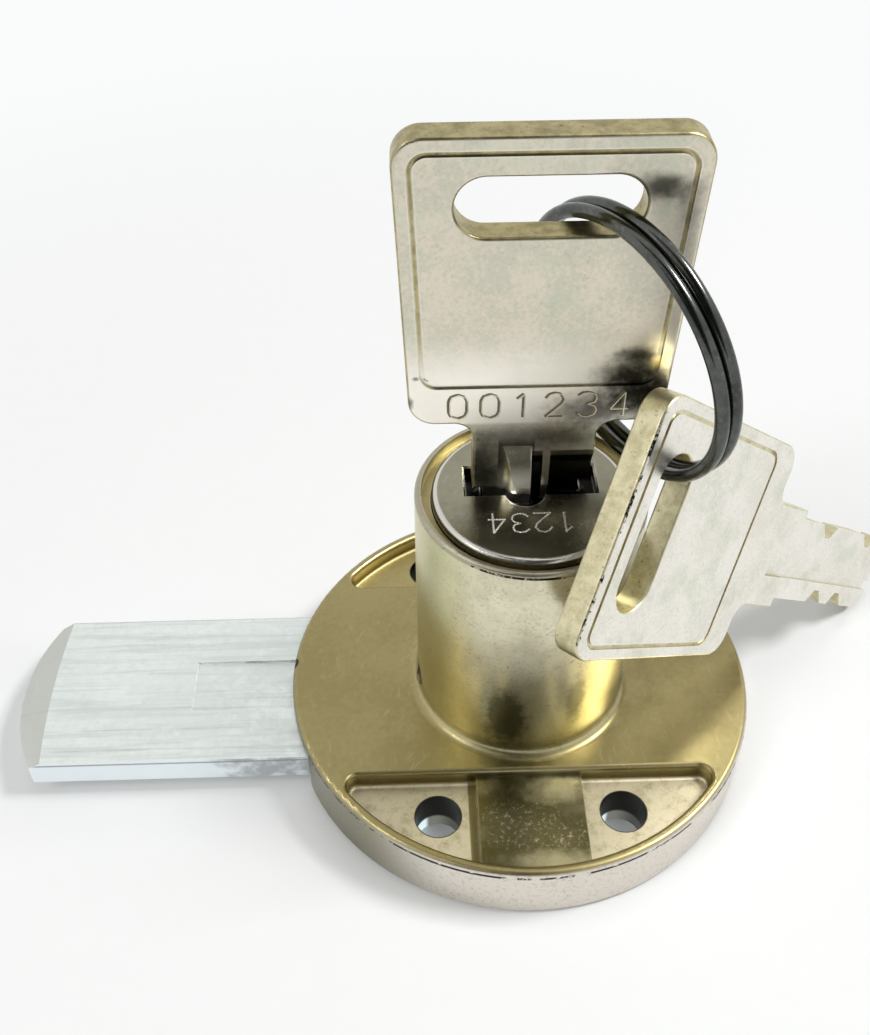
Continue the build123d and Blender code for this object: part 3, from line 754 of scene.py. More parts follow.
@dataclass(frozen=True)
class BoltPlate(Finish):
    """Dull zinc of the bolt, drawn along its length, greyer down its sides, with painted shade at its end."""

    line: Colour = (0.60, 0.64, 0.62)
    nose: Colour = (0.57, 0.58, 0.545)
    side: Colour = (0.84, 0.90, 0.93)
    deep: Colour = (0.30, 0.32, 0.33)
    far_edge: Colour = (0.34, 0.30, 0.25)

    drawn: Mottle = Mottle(1.6, 5.0, 0.7, 0.46, 0.66, 0.6)
    drawn_squeeze: Triple = (0.04, 1.0, 1.0)
    mottled: Mottle = Mottle(1.2, 5.0, 0.7, 0.5, 0.72, 0.4)
    dark_patches: Mottle = Mottle(0.5, 3.0, 0.55, 0.35, 0.6, 0.7)
    broken: Mottle = Mottle(0.25, 3.0, 0.55, 0.42, 0.6)

    back_depth: Band = (7.85, 8.6, 0.1)
    back_rise: Span = (4.0, 4.4)
    back_share: float = 0.7
    bevelled: Span = (0.995, 0.97)
    nose_start: Span = (-41.0, -41.6)
    sideways: Span = (0.6, 0.2)
    dark_patch_start: Span = (-28.0, -25.0)
    under_rise: Band = (4.12, 4.26, 0.06)
    under_start: Span = (-43.0, -41.5)
    under_share: float = 0.85
    top_face: Span = (0.9, 0.99)
    scores: Tuple[Span, ...] = ((-2.3, 0.14), (-4.6, 0.2), (-6.7, 0.16), (5.9, 0.1))
    score_half: float = 0.03
    score_feather: float = 0.1

    def tint(self, face: Surface) -> None:
        """Add drawn lines, paint shade on the bevelled end and under the sides' top edge, and grey the sides.

        Args:
            face: the surface.
        """
        stretched = face.vector("MULTIPLY", face.place, self.drawn_squeeze)
        face.paint(face.mottle(self.drawn, stretched), self.line)
        face.paint(face.mottle(self.mottled), self.line)
        face.paint(face.where(self.back_share, y=self.back_depth, z=self.back_rise), self.far_edge)
        # Painted shade on the bevelled end.
        face.paint(face.where(upward=self.bevelled, x=self.nose_start), self.nose)
        side = face.where(upward=self.sideways)
        face.paint(side, self.side)
        # Darker grey in patches down the sides towards the flange.
        face.paint(face.where(side, face.mottle(self.dark_patches), x=self.dark_patch_start), self.deep)
        # Painted shade in a line just under the top edge of the sides.
        face.paint(face.where(side, self.under_share, z=self.under_rise, x=self.under_start), self.deep)

    def chips_and_shade(self, face: Surface) -> Optional[Socket]:
        """Draw faint scored lines along the top.

        Args:
            face: the surface.

        Returns:
            The mask of the lines.
        """
        shown = face.where(face.mottle(self.broken), upward=self.top_face)
        total: Feed = 0.0
        for place, share in self.scores:
            band = (place - self.score_half, place + self.score_half, self.score_feather)
            total = face.math("MAXIMUM", total, face.where(shown, share, y=band))
        return total


@dataclass(frozen=True)
class CorePlate(Finish):
    """Dark nickel of the core, with a painted highlight round its edge and painted shade down its mouth."""

    bright: Colour = (0.80, 0.79, 0.74)
    grime_and_shade: Colour = (0.008, 0.007, 0.006)
    bulge: Triple = (-0.5, -0.25, 27.8)

    edge_ring: Band = (7.3, 7.6, 0.12)
    edge_rise: Span = (27.3, 27.5)
    edge_share: float = 0.75
    bulge_lip: Band = (1.46, 1.6, 0.07)
    bulge_front: Span = (-0.6, -1.0)
    mouth_fall: Span = (27.72, 27.45)
    mouth_edge: Span = (7.3, 7.0)
    inside_fall: Span = (27.3, 26.9)

    def tint(self, face: Surface) -> None:
        """Paint highlights on the edge and on the lip of the bulge, and paint shade down the mouth.

        Args:
            face: the surface.
        """
        # Painted highlights on the edge and on the lip of the bulge.
        edge = face.where(self.edge_share, reach=self.edge_ring, z=self.edge_rise)
        from_bulge = face.vector("DISTANCE", face.place, self.bulge)
        lip = face.where(face.between(from_bulge, *self.bulge_lip), y=self.bulge_front)
        face.paint(face.math("MAXIMUM", edge, lip), self.bright)
        # Painted shade down the mouth and on everything below the face.
        deep = face.where(z=self.mouth_fall, reach=self.mouth_edge)
        face.paint(face.math("MAXIMUM", deep, face.where(z=self.inside_fall)), self.grime_and_shade)


@dataclass(frozen=True)
class KeyPlate(Finish):
    """Nickel on a key: pale on its two faces, brassy and pitted round the edges and in the panel line."""

    top: Triple = (0.0, 1.2, 56.55)
    down: Triple = (0.0, 0.0, -1.0)
    across: Triple = (0.0, 1.0, 0.0)
    flank: Colour = (0.46, 0.40, 0.20)
    flank_shade: Colour = (0.28, 0.235, 0.11)
    specks: Colour = (0.36, 0.31, 0.20)
    green: Colour = (0.60, 0.64, 0.51)
    grime_and_shade: Colour = (0.09, 0.075, 0.04)

    patches: Mottle = Mottle(0.9, 5.0, 0.7, 0.36, 0.68)
    nicks: Mottle = Mottle(1.9, 5.0, 0.75, 0.6, 0.68, 0.7)
    speckle: Mottle = Mottle(5.0, 4.0, 0.75, 0.52, 0.68, 0.28)
    tarnish: Mottle = Mottle(0.3, 5.0, 0.65, 0.5, 0.66, 0.5)
    tarnish_shift: Triple = (31.0, 7.0, 3.0)

    flat: Span = (0.8, 0.95)
    sunk: Span = (1.08, 0.98)
    bow: Span = (22.25, 22.1)

    def tint(self, face: Surface) -> None:
        """Add the brassy edges and the line round the panel.

        Args:
            face: the surface.
        """
        offset = face.vector("SUBTRACT", face.place, self.top)
        depth = face.math("ABSOLUTE", face.vector("DOT_PRODUCT", offset, self.across))
        along = face.vector("DOT_PRODUCT", offset, self.down)
        flat = face.smooth(face.math("ABSOLUTE", face.facing(self.across)), *self.flat)
        groove = face.times(face.smooth(depth, *self.sunk), face.smooth(along, *self.bow))
        faces = face.times(flat, face.math("SUBTRACT", 1.0, groove))
        flank = face.mix(face.mottle(self.nicks),
                         face.mix(face.mottle(self.patches), self.flank, self.flank_shade), self.grime_and_shade)
        shifted = face.vector("ADD", face.place, self.tarnish_shift)
        face.paint(face.mottle(self.tarnish, shifted), self.green)
        face.paint(face.mottle(self.speckle), self.specks)
        face.colour = face.mix(faces, flank, face.colour)


@dataclass(frozen=True)
class LockedKeyPlate(KeyPlate):
    """The key in the core: its neck is dark with painted shade where it goes into the keyway."""

    # Painted light on the neck: shade on the rib's top, a paler lower bow front for its reflection, and a
    # highlight on the rib's bottom.
    shadow: Colour = (0.075, 0.07, 0.045)
    pale: Colour = (0.97, 0.93, 0.84)
    rib_highlight: Colour = (0.97, 0.93, 0.83)

    bow_fall: Span = (43.0, 37.5)
    bow_rise: Span = (34.2, 34.6)
    front_face: Span = (-0.9, -0.97)
    rib: Band = (-2.6, 0.0, 0.1)
    rib_highlight_fall: Span = (30.2, 28.9)
    shadow_rise: Span = (29.2, 30.8)
    shadow_fall: Span = (33.2, 32.2)
    shadow_share: float = 0.9
    groove_fall: Span = (31.1, 30.9)
    groove_depth: Span = (0.42, 0.55)
    groove_right: Span = (-0.3, -0.1)
    groove_share: float = 0.98

    def tint(self, face: Surface) -> None:
        """Paint light on the foot of the bow and a highlight on the bottom of the rib, and paint shade on the
        rib's top.

        Args:
            face: the surface.
        """
        super().tint(face)
        front = face.smooth(face.facing(Way.Y.value), *self.front_face)
        # Painted reflection: the lower front of the bow is painted paler.
        face.paint(face.where(face.where(front, z=self.bow_fall), z=self.bow_rise), self.pale)
        rib = face.where(x=self.rib)
        # Painted highlight on the bottom of the rib, then painted shade on its top.
        face.paint(face.where(rib, z=self.rib_highlight_fall), self.rib_highlight)
        dark = face.where(rib, self.shadow_share, z=self.shadow_rise)
        face.paint(face.where(dark, z=self.shadow_fall), self.shadow)

    def chips_and_shade(self, face: Surface) -> Optional[Socket]:
        """Return the mask of painted shade in the grooves where they go down into the keyway."""
        return face.where(self.groove_share, z=self.groove_fall, y=self.groove_depth, x=self.groove_right)


@dataclass(frozen=True)
class SpareKeyPlate(KeyPlate):
    """The hanging key: painted paler for the light it catches, with its plated finish broken along its long
    top edge.
    """

    breaks: Mottle = Mottle(0.6, 5.0, 0.8, 0.5, 0.54)
    edge_band: Band = (0.04, 0.2, 0.05)
    front_depth: Span = (0.85, 1.0)

    def chips_and_shade(self, face: Surface) -> Optional[Socket]:
        """Break a dark line along the top edge of the face that shows.

        Args:
            face: the surface.

        Returns:
            The mask of the line.
        """
        offset = face.vector("SUBTRACT", face.place, self.top)
        along = face.vector("DOT_PRODUCT", offset, self.down)
        depth = face.vector("DOT_PRODUCT", offset, self.across)
        return face.times(face.between(along, *self.edge_band), face.smooth(depth, *self.front_depth),
                          face.mottle(self.breaks))


# Painted shade: the sides of the screw holes are painted near black.
HOLE_SHADE = (0.02, 0.02, 0.017)
SCREW_HOLES = tuple(Blot((x, y, 3.2), (1.98, 1.98, 30.0), 0.97, HOLE_SHADE, ragged=0.0, soft=0.03)
                    for x in (-7.65, 7.65) for y in (-13.8, 13.8))
# Painted dark reflections low on the front of the barrel.
DARK_REFLECTION = (0.09, 0.088, 0.042)
BARREL_REFLECTIONS = (Blot((-2.1, -8.8, 10.6), (1.7, 1.3, 3.4), 0.8, DARK_REFLECTION),
                  Blot((3.7, -8.2, 12.2), (0.8, 1.2, 2.8), 0.6, DARK_REFLECTION),
                  Blot((-1.0, -9.0, 6.3), (4.2, 1.6, 1.1), 0.35, DARK_REFLECTION))
RIM_NICK = Blot((-20.1, 1.5, 5.5), (0.35, 0.55, 0.45), ragged=0.3, soft=0.2)
CASTING = CastingPlate(
    "plated casting", base=(0.37, 0.31, 0.145), shade=(0.33, 0.275, 0.125), edge=(0.66, 0.61, 0.44),
    pit=(0.09, 0.075, 0.04), roughness=0.34, roughness_spread=0.08, pit_scale=1.3, pit_share=0.18,
    scuff_scale=2.8, scuff_share=0.16, wear_gain=3.0, fine=0.6,
    blots=SCREW_HOLES + BARREL_REFLECTIONS + (RIM_NICK,))
BOLT_ZINC = BoltPlate(
    "zinc plated bolt", base=(0.86, 0.91, 0.88), shade=(0.74, 0.785, 0.755), edge=(0.86, 0.90, 0.88),
    pit=(0.40, 0.42, 0.42), roughness=0.45, cloud_scale=0.09, fine=0.6, pit_share=0.1, scuff_share=0.06,
    wear_gain=2.0, bare_and_shade=(0.2, 0.21, 0.21))
CORE_NICKEL = CorePlate(
    "dark nickel core", base=(0.33, 0.315, 0.235), shade=(0.26, 0.245, 0.18), edge=(0.78, 0.77, 0.72),
    pit=(0.05, 0.05, 0.04), roughness=0.27, cloud_scale=0.1, pit_share=0.06, scuff_share=0.12,
    wear_gain=3.0)
# Dark blots on the key: painted dark reflections of the ring and spare on the bow and of the core on the
# neck, with a few real specks; the gleam is a painted highlight.
SMUDGE_AND_REFLECTION = (0.02, 0.018, 0.012)
GLEAM = (0.95, 0.80, 0.42)
KEY_SMUDGES_AND_REFLECTIONS = tuple(Blot((x, 0.1, z), (wide, 0.6, tall), share, SMUDGE_AND_REFLECTION, soft=0.8)
                    for x, z, wide, tall, share in (
    (6.7, 53.1, 1.2, 0.7, 0.8), (7.9, 52.9, 1.3, 0.8, 0.6), (8.7, 51.6, 0.7, 1.5, 0.45),
    (8.9, 49.2, 0.5, 1.6, 0.3), (7.0, 40.3, 1.4, 0.6, 0.85), (6.6, 38.5, 2.1, 1.4, 0.97),
    (8.3, 36.9, 1.6, 1.1, 0.98), (6.6, 36.6, 1.9, 1.2, 0.95), (4.6, 35.4, 3.0, 1.3, 0.8),
    (-3.9, 31.2, 1.2, 1.7, 0.75), (-3.6, 29.3, 1.2, 1.2, 0.8), (-1.6, 33.1, 3.4, 0.8, 0.5),
    (2.4, 33.0, 2.4, 1.0, 0.6), (-5.1, 50.7, 0.6, 0.4, 0.2), (-8.7, 38.6, 0.2, 0.15, 0.7),
    (-8.0, 38.4, 0.15, 0.12, 0.7), (-9.1, 36.4, 0.18, 0.4, 0.7)))
KEY_GLEAM = Blot((8.2, 0.1, 39.5), (0.5, 0.6, 0.45), 0.9, GLEAM, soft=0.8)
KEY_NICKEL = LockedKeyPlate(
    "key nickel", base=(0.74, 0.67, 0.555), shade=(0.63, 0.61, 0.50), edge=(0.86, 0.82, 0.70),
    pit=(0.10, 0.08, 0.05), roughness=0.34, roughness_spread=0.08, cloud_scale=0.22, fine=0.8,
    pit_scale=1.5, pit_share=0.15, scuff_share=0.1, blots=KEY_SMUDGES_AND_REFLECTIONS + (KEY_GLEAM,))
# Painted light: the spare's faces and flanks are painted paler than the key in the core's, for the light they
# catch.
SPARE_NICKEL = SpareKeyPlate(
    "spare key nickel", base=(0.86, 0.835, 0.765), shade=(0.78, 0.75, 0.68), edge=(0.88, 0.85, 0.78),
    pit=(0.30, 0.27, 0.20), roughness=0.38, roughness_spread=0.08, cloud_scale=0.22, fine=0.8,
    pit_scale=1.5, pit_share=0.15, scuff_share=0.08, top=(4.389, -8.261, 32.18),
    down=(0.649, 0.458, -0.608), across=(0.676, -0.714, 0.183), flank=(0.70, 0.65, 0.43),
    flank_shade=(0.50, 0.45, 0.27))
RING_STEEL = Finish(
    "dark ring steel", base=(0.11, 0.115, 0.105), shade=(0.05, 0.055, 0.05), edge=(0.36, 0.37, 0.35),
    pit=(0.04, 0.035, 0.03), roughness=0.22, pit_share=0.08, scuff_share=0.2)
PIN_STEEL = Finish(
    "plain pin steel", base=(0.20, 0.20, 0.19), shade=(0.14, 0.14, 0.13), edge=(0.5, 0.5, 0.5),
    pit=(0.03, 0.03, 0.03), roughness=0.35)
SHEET_ZINC = Finish(
    "zinc plated sheet", base=(0.55, 0.56, 0.54), shade=(0.47, 0.48, 0.46), edge=(0.75, 0.75, 0.73),
    pit=(0.20, 0.20, 0.19), roughness=0.42)
SCREW_ZINC = Finish(
    "zinc plated screw", base=(0.52, 0.52, 0.49), shade=(0.42, 0.42, 0.40), edge=(0.75, 0.75, 0.73),
    pit=(0.12, 0.12, 0.11), roughness=0.34)
WAFER_BRASS = Finish(
    "stamped brass", base=(0.66, 0.48, 0.20), shade=(0.55, 0.39, 0.15), edge=(0.85, 0.70, 0.40),
    pit=(0.20, 0.13, 0.05), roughness=0.34)
SPRING_STEEL = Finish(
    "spring wire", base=(0.42, 0.42, 0.42), shade=(0.34, 0.34, 0.34), edge=(0.6, 0.6, 0.6),
    pit=(0.10, 0.10, 0.10), roughness=0.28)
STAMP_PALE = Finish(
    "raised stamp edge", base=(0.62, 0.61, 0.53), shade=(0.48, 0.47, 0.40), edge=(0.85, 0.84, 0.78),
    pit=(0.30, 0.29, 0.24), roughness=0.4, cloud_scale=2.0)
STAMP_GLINT = Finish(
    "bright stamp edge", base=(0.82, 0.79, 0.68), shade=(0.72, 0.68, 0.57), edge=(0.9, 0.88, 0.8),
    pit=(0.40, 0.37, 0.30), roughness=0.36, cloud_scale=2.0)
STAMP_DARK = Finish(
    "shaded stamp groove", base=(0.26, 0.22, 0.15), shade=(0.18, 0.15, 0.095), edge=(0.45, 0.40, 0.28),
    pit=(0.06, 0.05, 0.03), roughness=0.45, cloud_scale=1.0, wear_gain=0.0)


def dress(node: str, material: bpy.types.Material) -> None:
    """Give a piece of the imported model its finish.

    Args:
        node: the piece's name.
        material: its finish.
    """
    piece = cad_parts[node]
    piece.data.materials.clear()
    piece.data.materials.append(material)
    LOG.info("dressed %s in %s", node, material.name)


def add_mesh(name: str, points: Sequence[Vector], faces: Sequence[Tuple[int, ...]],
             material: bpy.types.Material) -> bpy.types.Object:
    """Make a mesh and link it to the scene.

    Args:
        name: its name.
        points: its points, in metres.
        faces: its faces, as numbers of points.
        material: its finish.

    Returns:
        The new object.
    """
    mesh = bpy.data.meshes.new(name)
    mesh.from_pydata(points, [], faces)
    mesh.validate()
    mesh.materials.append(material)
    made = bpy.data.objects.new(name, mesh)
    bpy.context.scene.collection.objects.link(made)
    return made


def circle(middle: Vector, first: Vector, second: Vector, radius: float, sides: int) -> List[Vector]:
    """Return points evenly round a circle.

    Args:
        middle: its middle.
        first: direction of its first point.
        second: direction of the point a quarter turn on.
        radius: its radius.
        sides: how many points it has.

    Returns:
        The points.
    """
    turns = [2 * math.pi * number / sides for number in range(sides)]
    return [middle + (first * math.cos(turn) + second * math.sin(turn)) * radius for turn in turns]


def walk(line: Sequence[Vector], spacing: float) -> List[Vector]:
    """Step evenly along a line of points.

    Args:
        line: the points.
        spacing: about how far apart the steps are.

    Returns:
        The steps, with both ends.
    """
    lengths = [(b - a).length for a, b in zip(line, line[1:])]
    total = sum(lengths)
    count = max(int(round(total / spacing)), 1)
    closed = (line[0] - line[-1]).length < spacing / 2
    steps = []
    for step in range(count if closed else count + 1):
        left, index = total * step / count, 0
        while index < len(lengths) - 1 and left > lengths[index]:
            left -= lengths[index]
            index += 1
        steps.append(line[index].lerp(line[index + 1], left / lengths[index]))
    if closed:
        steps.append(line[0].copy())
    return steps


@dataclass
class Sheet:
    """Points and faces of a mesh that is being built, in millimetres."""

    points: List[Vector] = field(default_factory=list)
    faces: List[Tuple[int, ...]] = field(default_factory=list)

    def rows(self, rows: Sequence[Sequence[Vector]], closed: bool = False) -> None:
        """Join rows of points with quads.

        Args:
            rows: the rows, all of one length.
            closed: whether each row runs round to its own start.
        """
        first, width = len(self.points), len(rows[0])
        for row in rows:
            self.points.extend(row)
        for step in range(len(rows) - 1):
            low = first + step * width
            for index in range(width if closed else width - 1):
                after = (index + 1) % width
                self.faces.append((low + index, low + after, low + width + after, low + width + index))

    def cap(self, first: int, count: int, tip: Vector, flip: bool) -> None:
        """Close a ring of points with a fan to a tip.

        Args:
            first: number of the ring's first point.
            count: how many points it has.
            tip: the point in the middle.
            flip: whether the fan runs the other way round.
        """
        middle = len(self.points)
        self.points.append(tip)
        for index in range(count):
            pair = (first + index, first + (index + 1) % count)
            self.faces.append((middle,) + (pair[::-1] if flip else pair))

    def finish(self, name: str, material: bpy.types.Material, body: str, slot: str) -> bpy.types.Object:
        """Make the piece, and let it ride on a body.

        Args:
            name: the piece's name.
            material: its finish.
            body: the body that carries it.
            slot: the record's slot that its finish belongs to; not used.

        Returns:
            The piece.
        """
        piece = add_mesh(name, [point * MM for point in self.points], self.faces, material)
        piece.data.shade_smooth()
        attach(piece, body)
        LOG.info("made %s with %d faces", name, len(self.faces))
        return piece


DIGITS: Dict[str, Tuple[Stroke, ...]] = {
    "0": (((0.0, 0.28), (0.0, 0.72), (0.07, 0.9), (0.3, 1.0), (0.53, 0.9), (0.6, 0.72), (0.6, 0.28),
           (0.53, 0.1), (0.3, 0.0), (0.07, 0.1), (0.0, 0.28)),),
    "1": (((0.12, 0.78), (0.34, 1.0), (0.34, 0.0)),),
    "2": (((0.0, 0.78), (0.12, 0.95), (0.3, 1.0), (0.48, 0.95), (0.6, 0.76), (0.54, 0.56), (0.0, 0.0),
           (0.6, 0.0)),),
    "3": (((0.0, 0.86), (0.14, 0.98), (0.34, 1.0), (0.53, 0.92), (0.58, 0.76), (0.52, 0.6), (0.3, 0.53)),
          ((0.3, 0.53), (0.54, 0.44), (0.6, 0.27), (0.53, 0.09), (0.32, 0.0), (0.13, 0.03), (0.0, 0.15))),
    "4": (((0.45, 0.0), (0.45, 1.0), (0.0, 0.3), (0.6, 0.3)),),
}


@dataclass
class Stamp:
    """A row of plain digits laid on a flat face."""

    digits: str
    start: Triple
    right: Triple
    up: Triple
    height: float
    pitch: float
    lift: float = 0.006
    crown: float = 0.006
    dot_sides: int = 8
    dot_profile: Tuple[Span, ...] = ((1.0, 0.0), (0.7, 0.03), (0.35, 0.012))
    dot_tip: float = 0.008

    def axes(self) -> Tuple[Vector, Vector, Vector]:
        """Return the directions right, up and out of the face."""
        right, up = Vector(self.right), Vector(self.up)
        return right, up, right.cross(up)

    def strokes(self) -> List[List[Vector]]:
        """Lay out the digits.

        Returns:
            Every stroke of the row as a line of points.
        """
        right, up, out = self.axes()
        corner = Vector(self.start) + out * self.lift
        lines = []
        for index, digit in enumerate(self.digits):
            for stroke in DIGITS[digit]:
                lines.append([corner + right * (index * self.pitch + x * self.height) + up * (y * self.height)
                              for x, y in stroke])
        return lines

    def punched(self, radius: float, spacing: float) -> Sheet:
        """Lay small raised rings along the strokes, as a punch leaves them.

        Args:
            radius: each ring's radius.
            spacing: the distance from one to the next.

        Returns:
            The mesh.
        """
        sheet = Sheet()
        right, up, out = self.axes()
        for line in self.strokes():
            for centre in walk(line, spacing):
                sheet.rows([circle(centre + out * rise, right, up, radius * share, self.dot_sides)
                            for share, rise in self.dot_profile], closed=True)
                last_ring = len(sheet.points) - self.dot_sides
                sheet.cap(last_ring, self.dot_sides, centre + out * self.dot_tip, flip=False)
        return sheet

    def ribbons(self, width: float, shift: Triple = ORIGIN) -> Sheet:
        """Lay a thin crowned ribbon along every stroke.

        Args:
            width: the ribbon's width.
            shift: how far it is moved right, up and out.

        Returns:
            The mesh.
        """
        sheet = Sheet()
        right, up, out = self.axes()
        offset = right * shift[0] + up * shift[1] + out * shift[2]
        for line in self.strokes():
            points = [point + offset for point in walk(line, width)]
            rows = []
            for index, point in enumerate(points):
                before, after = points[max(index - 1, 0)], points[min(index + 1, len(points) - 1)]
                side = out.cross(after - before).normalized() * (width / 2)
                rows.append([point - side, point + out * self.crown, point + side])
            sheet.rows(rows)
        return sheet


@dataclass
class Casting:
    """The flange and barrel, with the plate, screws and pin that stay with it."""

    def build(self) -> None:
        """Dress every piece of the body."""
        dress("housing", CASTING.build())
        dress("back_plate", SHEET_ZINC.build())
        screw = SCREW_ZINC.build()
        for node in ("back_plate_screw_front", "back_plate_screw_rear"):
            dress(node, screw)
        dress("stop_pin", PIN_STEEL.build())


@dataclass
class SlidingBolt:
    """The flat bolt."""

    def build(self) -> None:
        """Dress the bolt."""
        dress("bolt", BOLT_ZINC.build())


@dataclass
class Core:
    """The plug with its pin, wafers, springs and stamped number."""

    wafer_count: int = 6
    number: Stamp = field(default_factory=lambda: Stamp(
        "1234", (2.9, -2.55, 27.8), (-1.0, 0.0, 0.0), (0.0, -1.0, 0.0), height=2.0, pitch=1.72))
    dot_radius: float = 0.09
    dot_spacing: float = 0.2

    def build(self) -> None:
        """Dress the plug and everything that turns with it, and punch its number."""
        dress("plug", CORE_NICKEL.build())
        dress("driver_pin", PIN_STEEL.build())
        brass, wire = WAFER_BRASS.build(), SPRING_STEEL.build()
        for number in range(1, self.wafer_count + 1):
            dress(f"wafer_{number}", brass)
            dress(f"wafer_spring_{number}", wire)
        dots = self.number.punched(self.dot_radius, self.dot_spacing)
        dots.finish("plug_number", STAMP_PALE.build(), "plug", "plug")


@dataclass
class Keys:
    """The key in the core with its stamped code, and its spare."""

    code: Stamp = field(default_factory=lambda: Stamp(
        "001234", (-6.4, 0.1, 34.95), (1.0, 0.0, 0.0), (0.0, 0.0, 1.0), height=2.2, pitch=2.32))
    stroke_width: float = 0.2
    glint_width: float = 0.09
    glint_shift: Triple = (0.13, -0.1, 0.004)

    def build(self) -> None:
        """Dress both keys and stamp the code."""
        dress("key", KEY_NICKEL.build())
        dress("spare_key", SPARE_NICKEL.build())
        # The dark ribbon is painted shade standing in for the stamped groove, and the thin offset ribbon is a
        # painted highlight on its edge.
        grooves = self.code.ribbons(self.stroke_width)
        grooves.finish("key_code", STAMP_DARK.build(), "key", "key")
        glints = self.code.ribbons(self.glint_width, self.glint_shift)
        glints.finish("key_code_edge", STAMP_GLINT.build(), "key", "key")


@dataclass
class SplitRing:
    """Two turns of wire side by side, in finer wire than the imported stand-in."""

    centre: Triple = (5.7931, -0.3648, 41.5518)
    axis: Triple = (0.841, 0.5196, 0.1509)
    up: Triple = (-0.1284, -0.0793, 0.9885)
    radius: float = 9.93
    wire_radius: float = 0.5
    half_pitch: float = 0.53
    first_angle: float = -65.0
    last_angle: float = 565.0
    crossing: Span = (205.0, 295.0)
    step: float = 2.5
    sides: int = 20
    end_length: float = 0.7
    end_shares: Tuple[float, ...] = (0.2, 0.45, 0.75)

    def middle(self, angle: float) -> Tuple[Vector, Vector]:
        """Return the wire's middle and its outward direction.

        Args:
            angle: how far round the ring, in degrees.

        Returns:
            The point and the direction.
        """
        axis, up = Vector(self.axis).normalized(), Vector(self.up).normalized()
        turn = math.radians(angle)
        outward = up * math.cos(turn) + axis.cross(up) * math.sin(turn)
        start, end = self.crossing
        share = min(max((angle - start) / (end - start), 0.0), 1.0)
        level = (share * share * (3 - 2 * share) * 2 - 1) * self.half_pitch
        return Vector(self.centre) + outward * self.radius + axis * level, outward

    def stations(self) -> List[Span]:
        """Find where the wire's rings of points stand.

        Returns:
            The angle of each ring, and its share of the full wire, which is less at the rounded ends.
        """
        reach = math.degrees(self.wire_radius / self.radius) * self.end_length
        ends = [(reach * (1 - math.cos(math.asin(share))), share) for share in self.end_shares]
        first, last = self.first_angle + reach, self.last_angle - reach
        count = int((last - first) / self.step)
        return ([(self.first_angle + inset, share) for inset, share in ends]
                + [(first + (last - first) * index / count, 1.0) for index in range(count + 1)]
                + [(self.last_angle - inset, share) for inset, share in reversed(ends)])

    def build(self) -> None:
        """Wind the wire, with rounded ends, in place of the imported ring."""
        axis = Vector(self.axis).normalized()
        rows = []
        for angle, share in self.stations():
            middle, outward = self.middle(angle)
            rows.append(circle(middle, outward, axis, self.wire_radius * share, self.sides))
        sheet = Sheet()
        sheet.rows(rows, closed=True)
        sheet.cap(0, self.sides, self.middle(self.first_angle)[0], flip=True)
        sheet.cap((len(rows) - 1) * self.sides, self.sides, self.middle(self.last_angle)[0], flip=False)
        piece = sheet.finish("ring_wire", RING_STEEL.build(), "ring", "ring")
        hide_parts("split_ring")


@dataclass(frozen=True)
class Lamp:
    """An oblong lamp that faces the lock, measured in metres and watts."""

    name: str
    place: Triple
    size: Span
    power: float

    def hang(self) -> None:
        """Hang the lamp."""
        light = bpy.data.lights.new(self.name, "AREA")
        light.shape = "RECTANGLE"
        light.size, light.size_y = self.size
        light.energy = self.power
        holder = bpy.data.objects.new(self.name, light)
        holder.location = self.place
        heading = Vector(AIM) - Vector(self.place)
        holder.rotation_euler = heading.to_track_quat("-Z", "Y").to_euler()
        bpy.context.scene.collection.objects.link(holder)


AIM = (0.0, 0.0, 0.02)
LAMPS = (Lamp("window_right", (0.465, 0.027, 0.65), (0.24, 0.16), 5.3),
         Lamp("fill_left", (-0.45, -0.3, 0.6), (0.25, 0.25), 2.4))


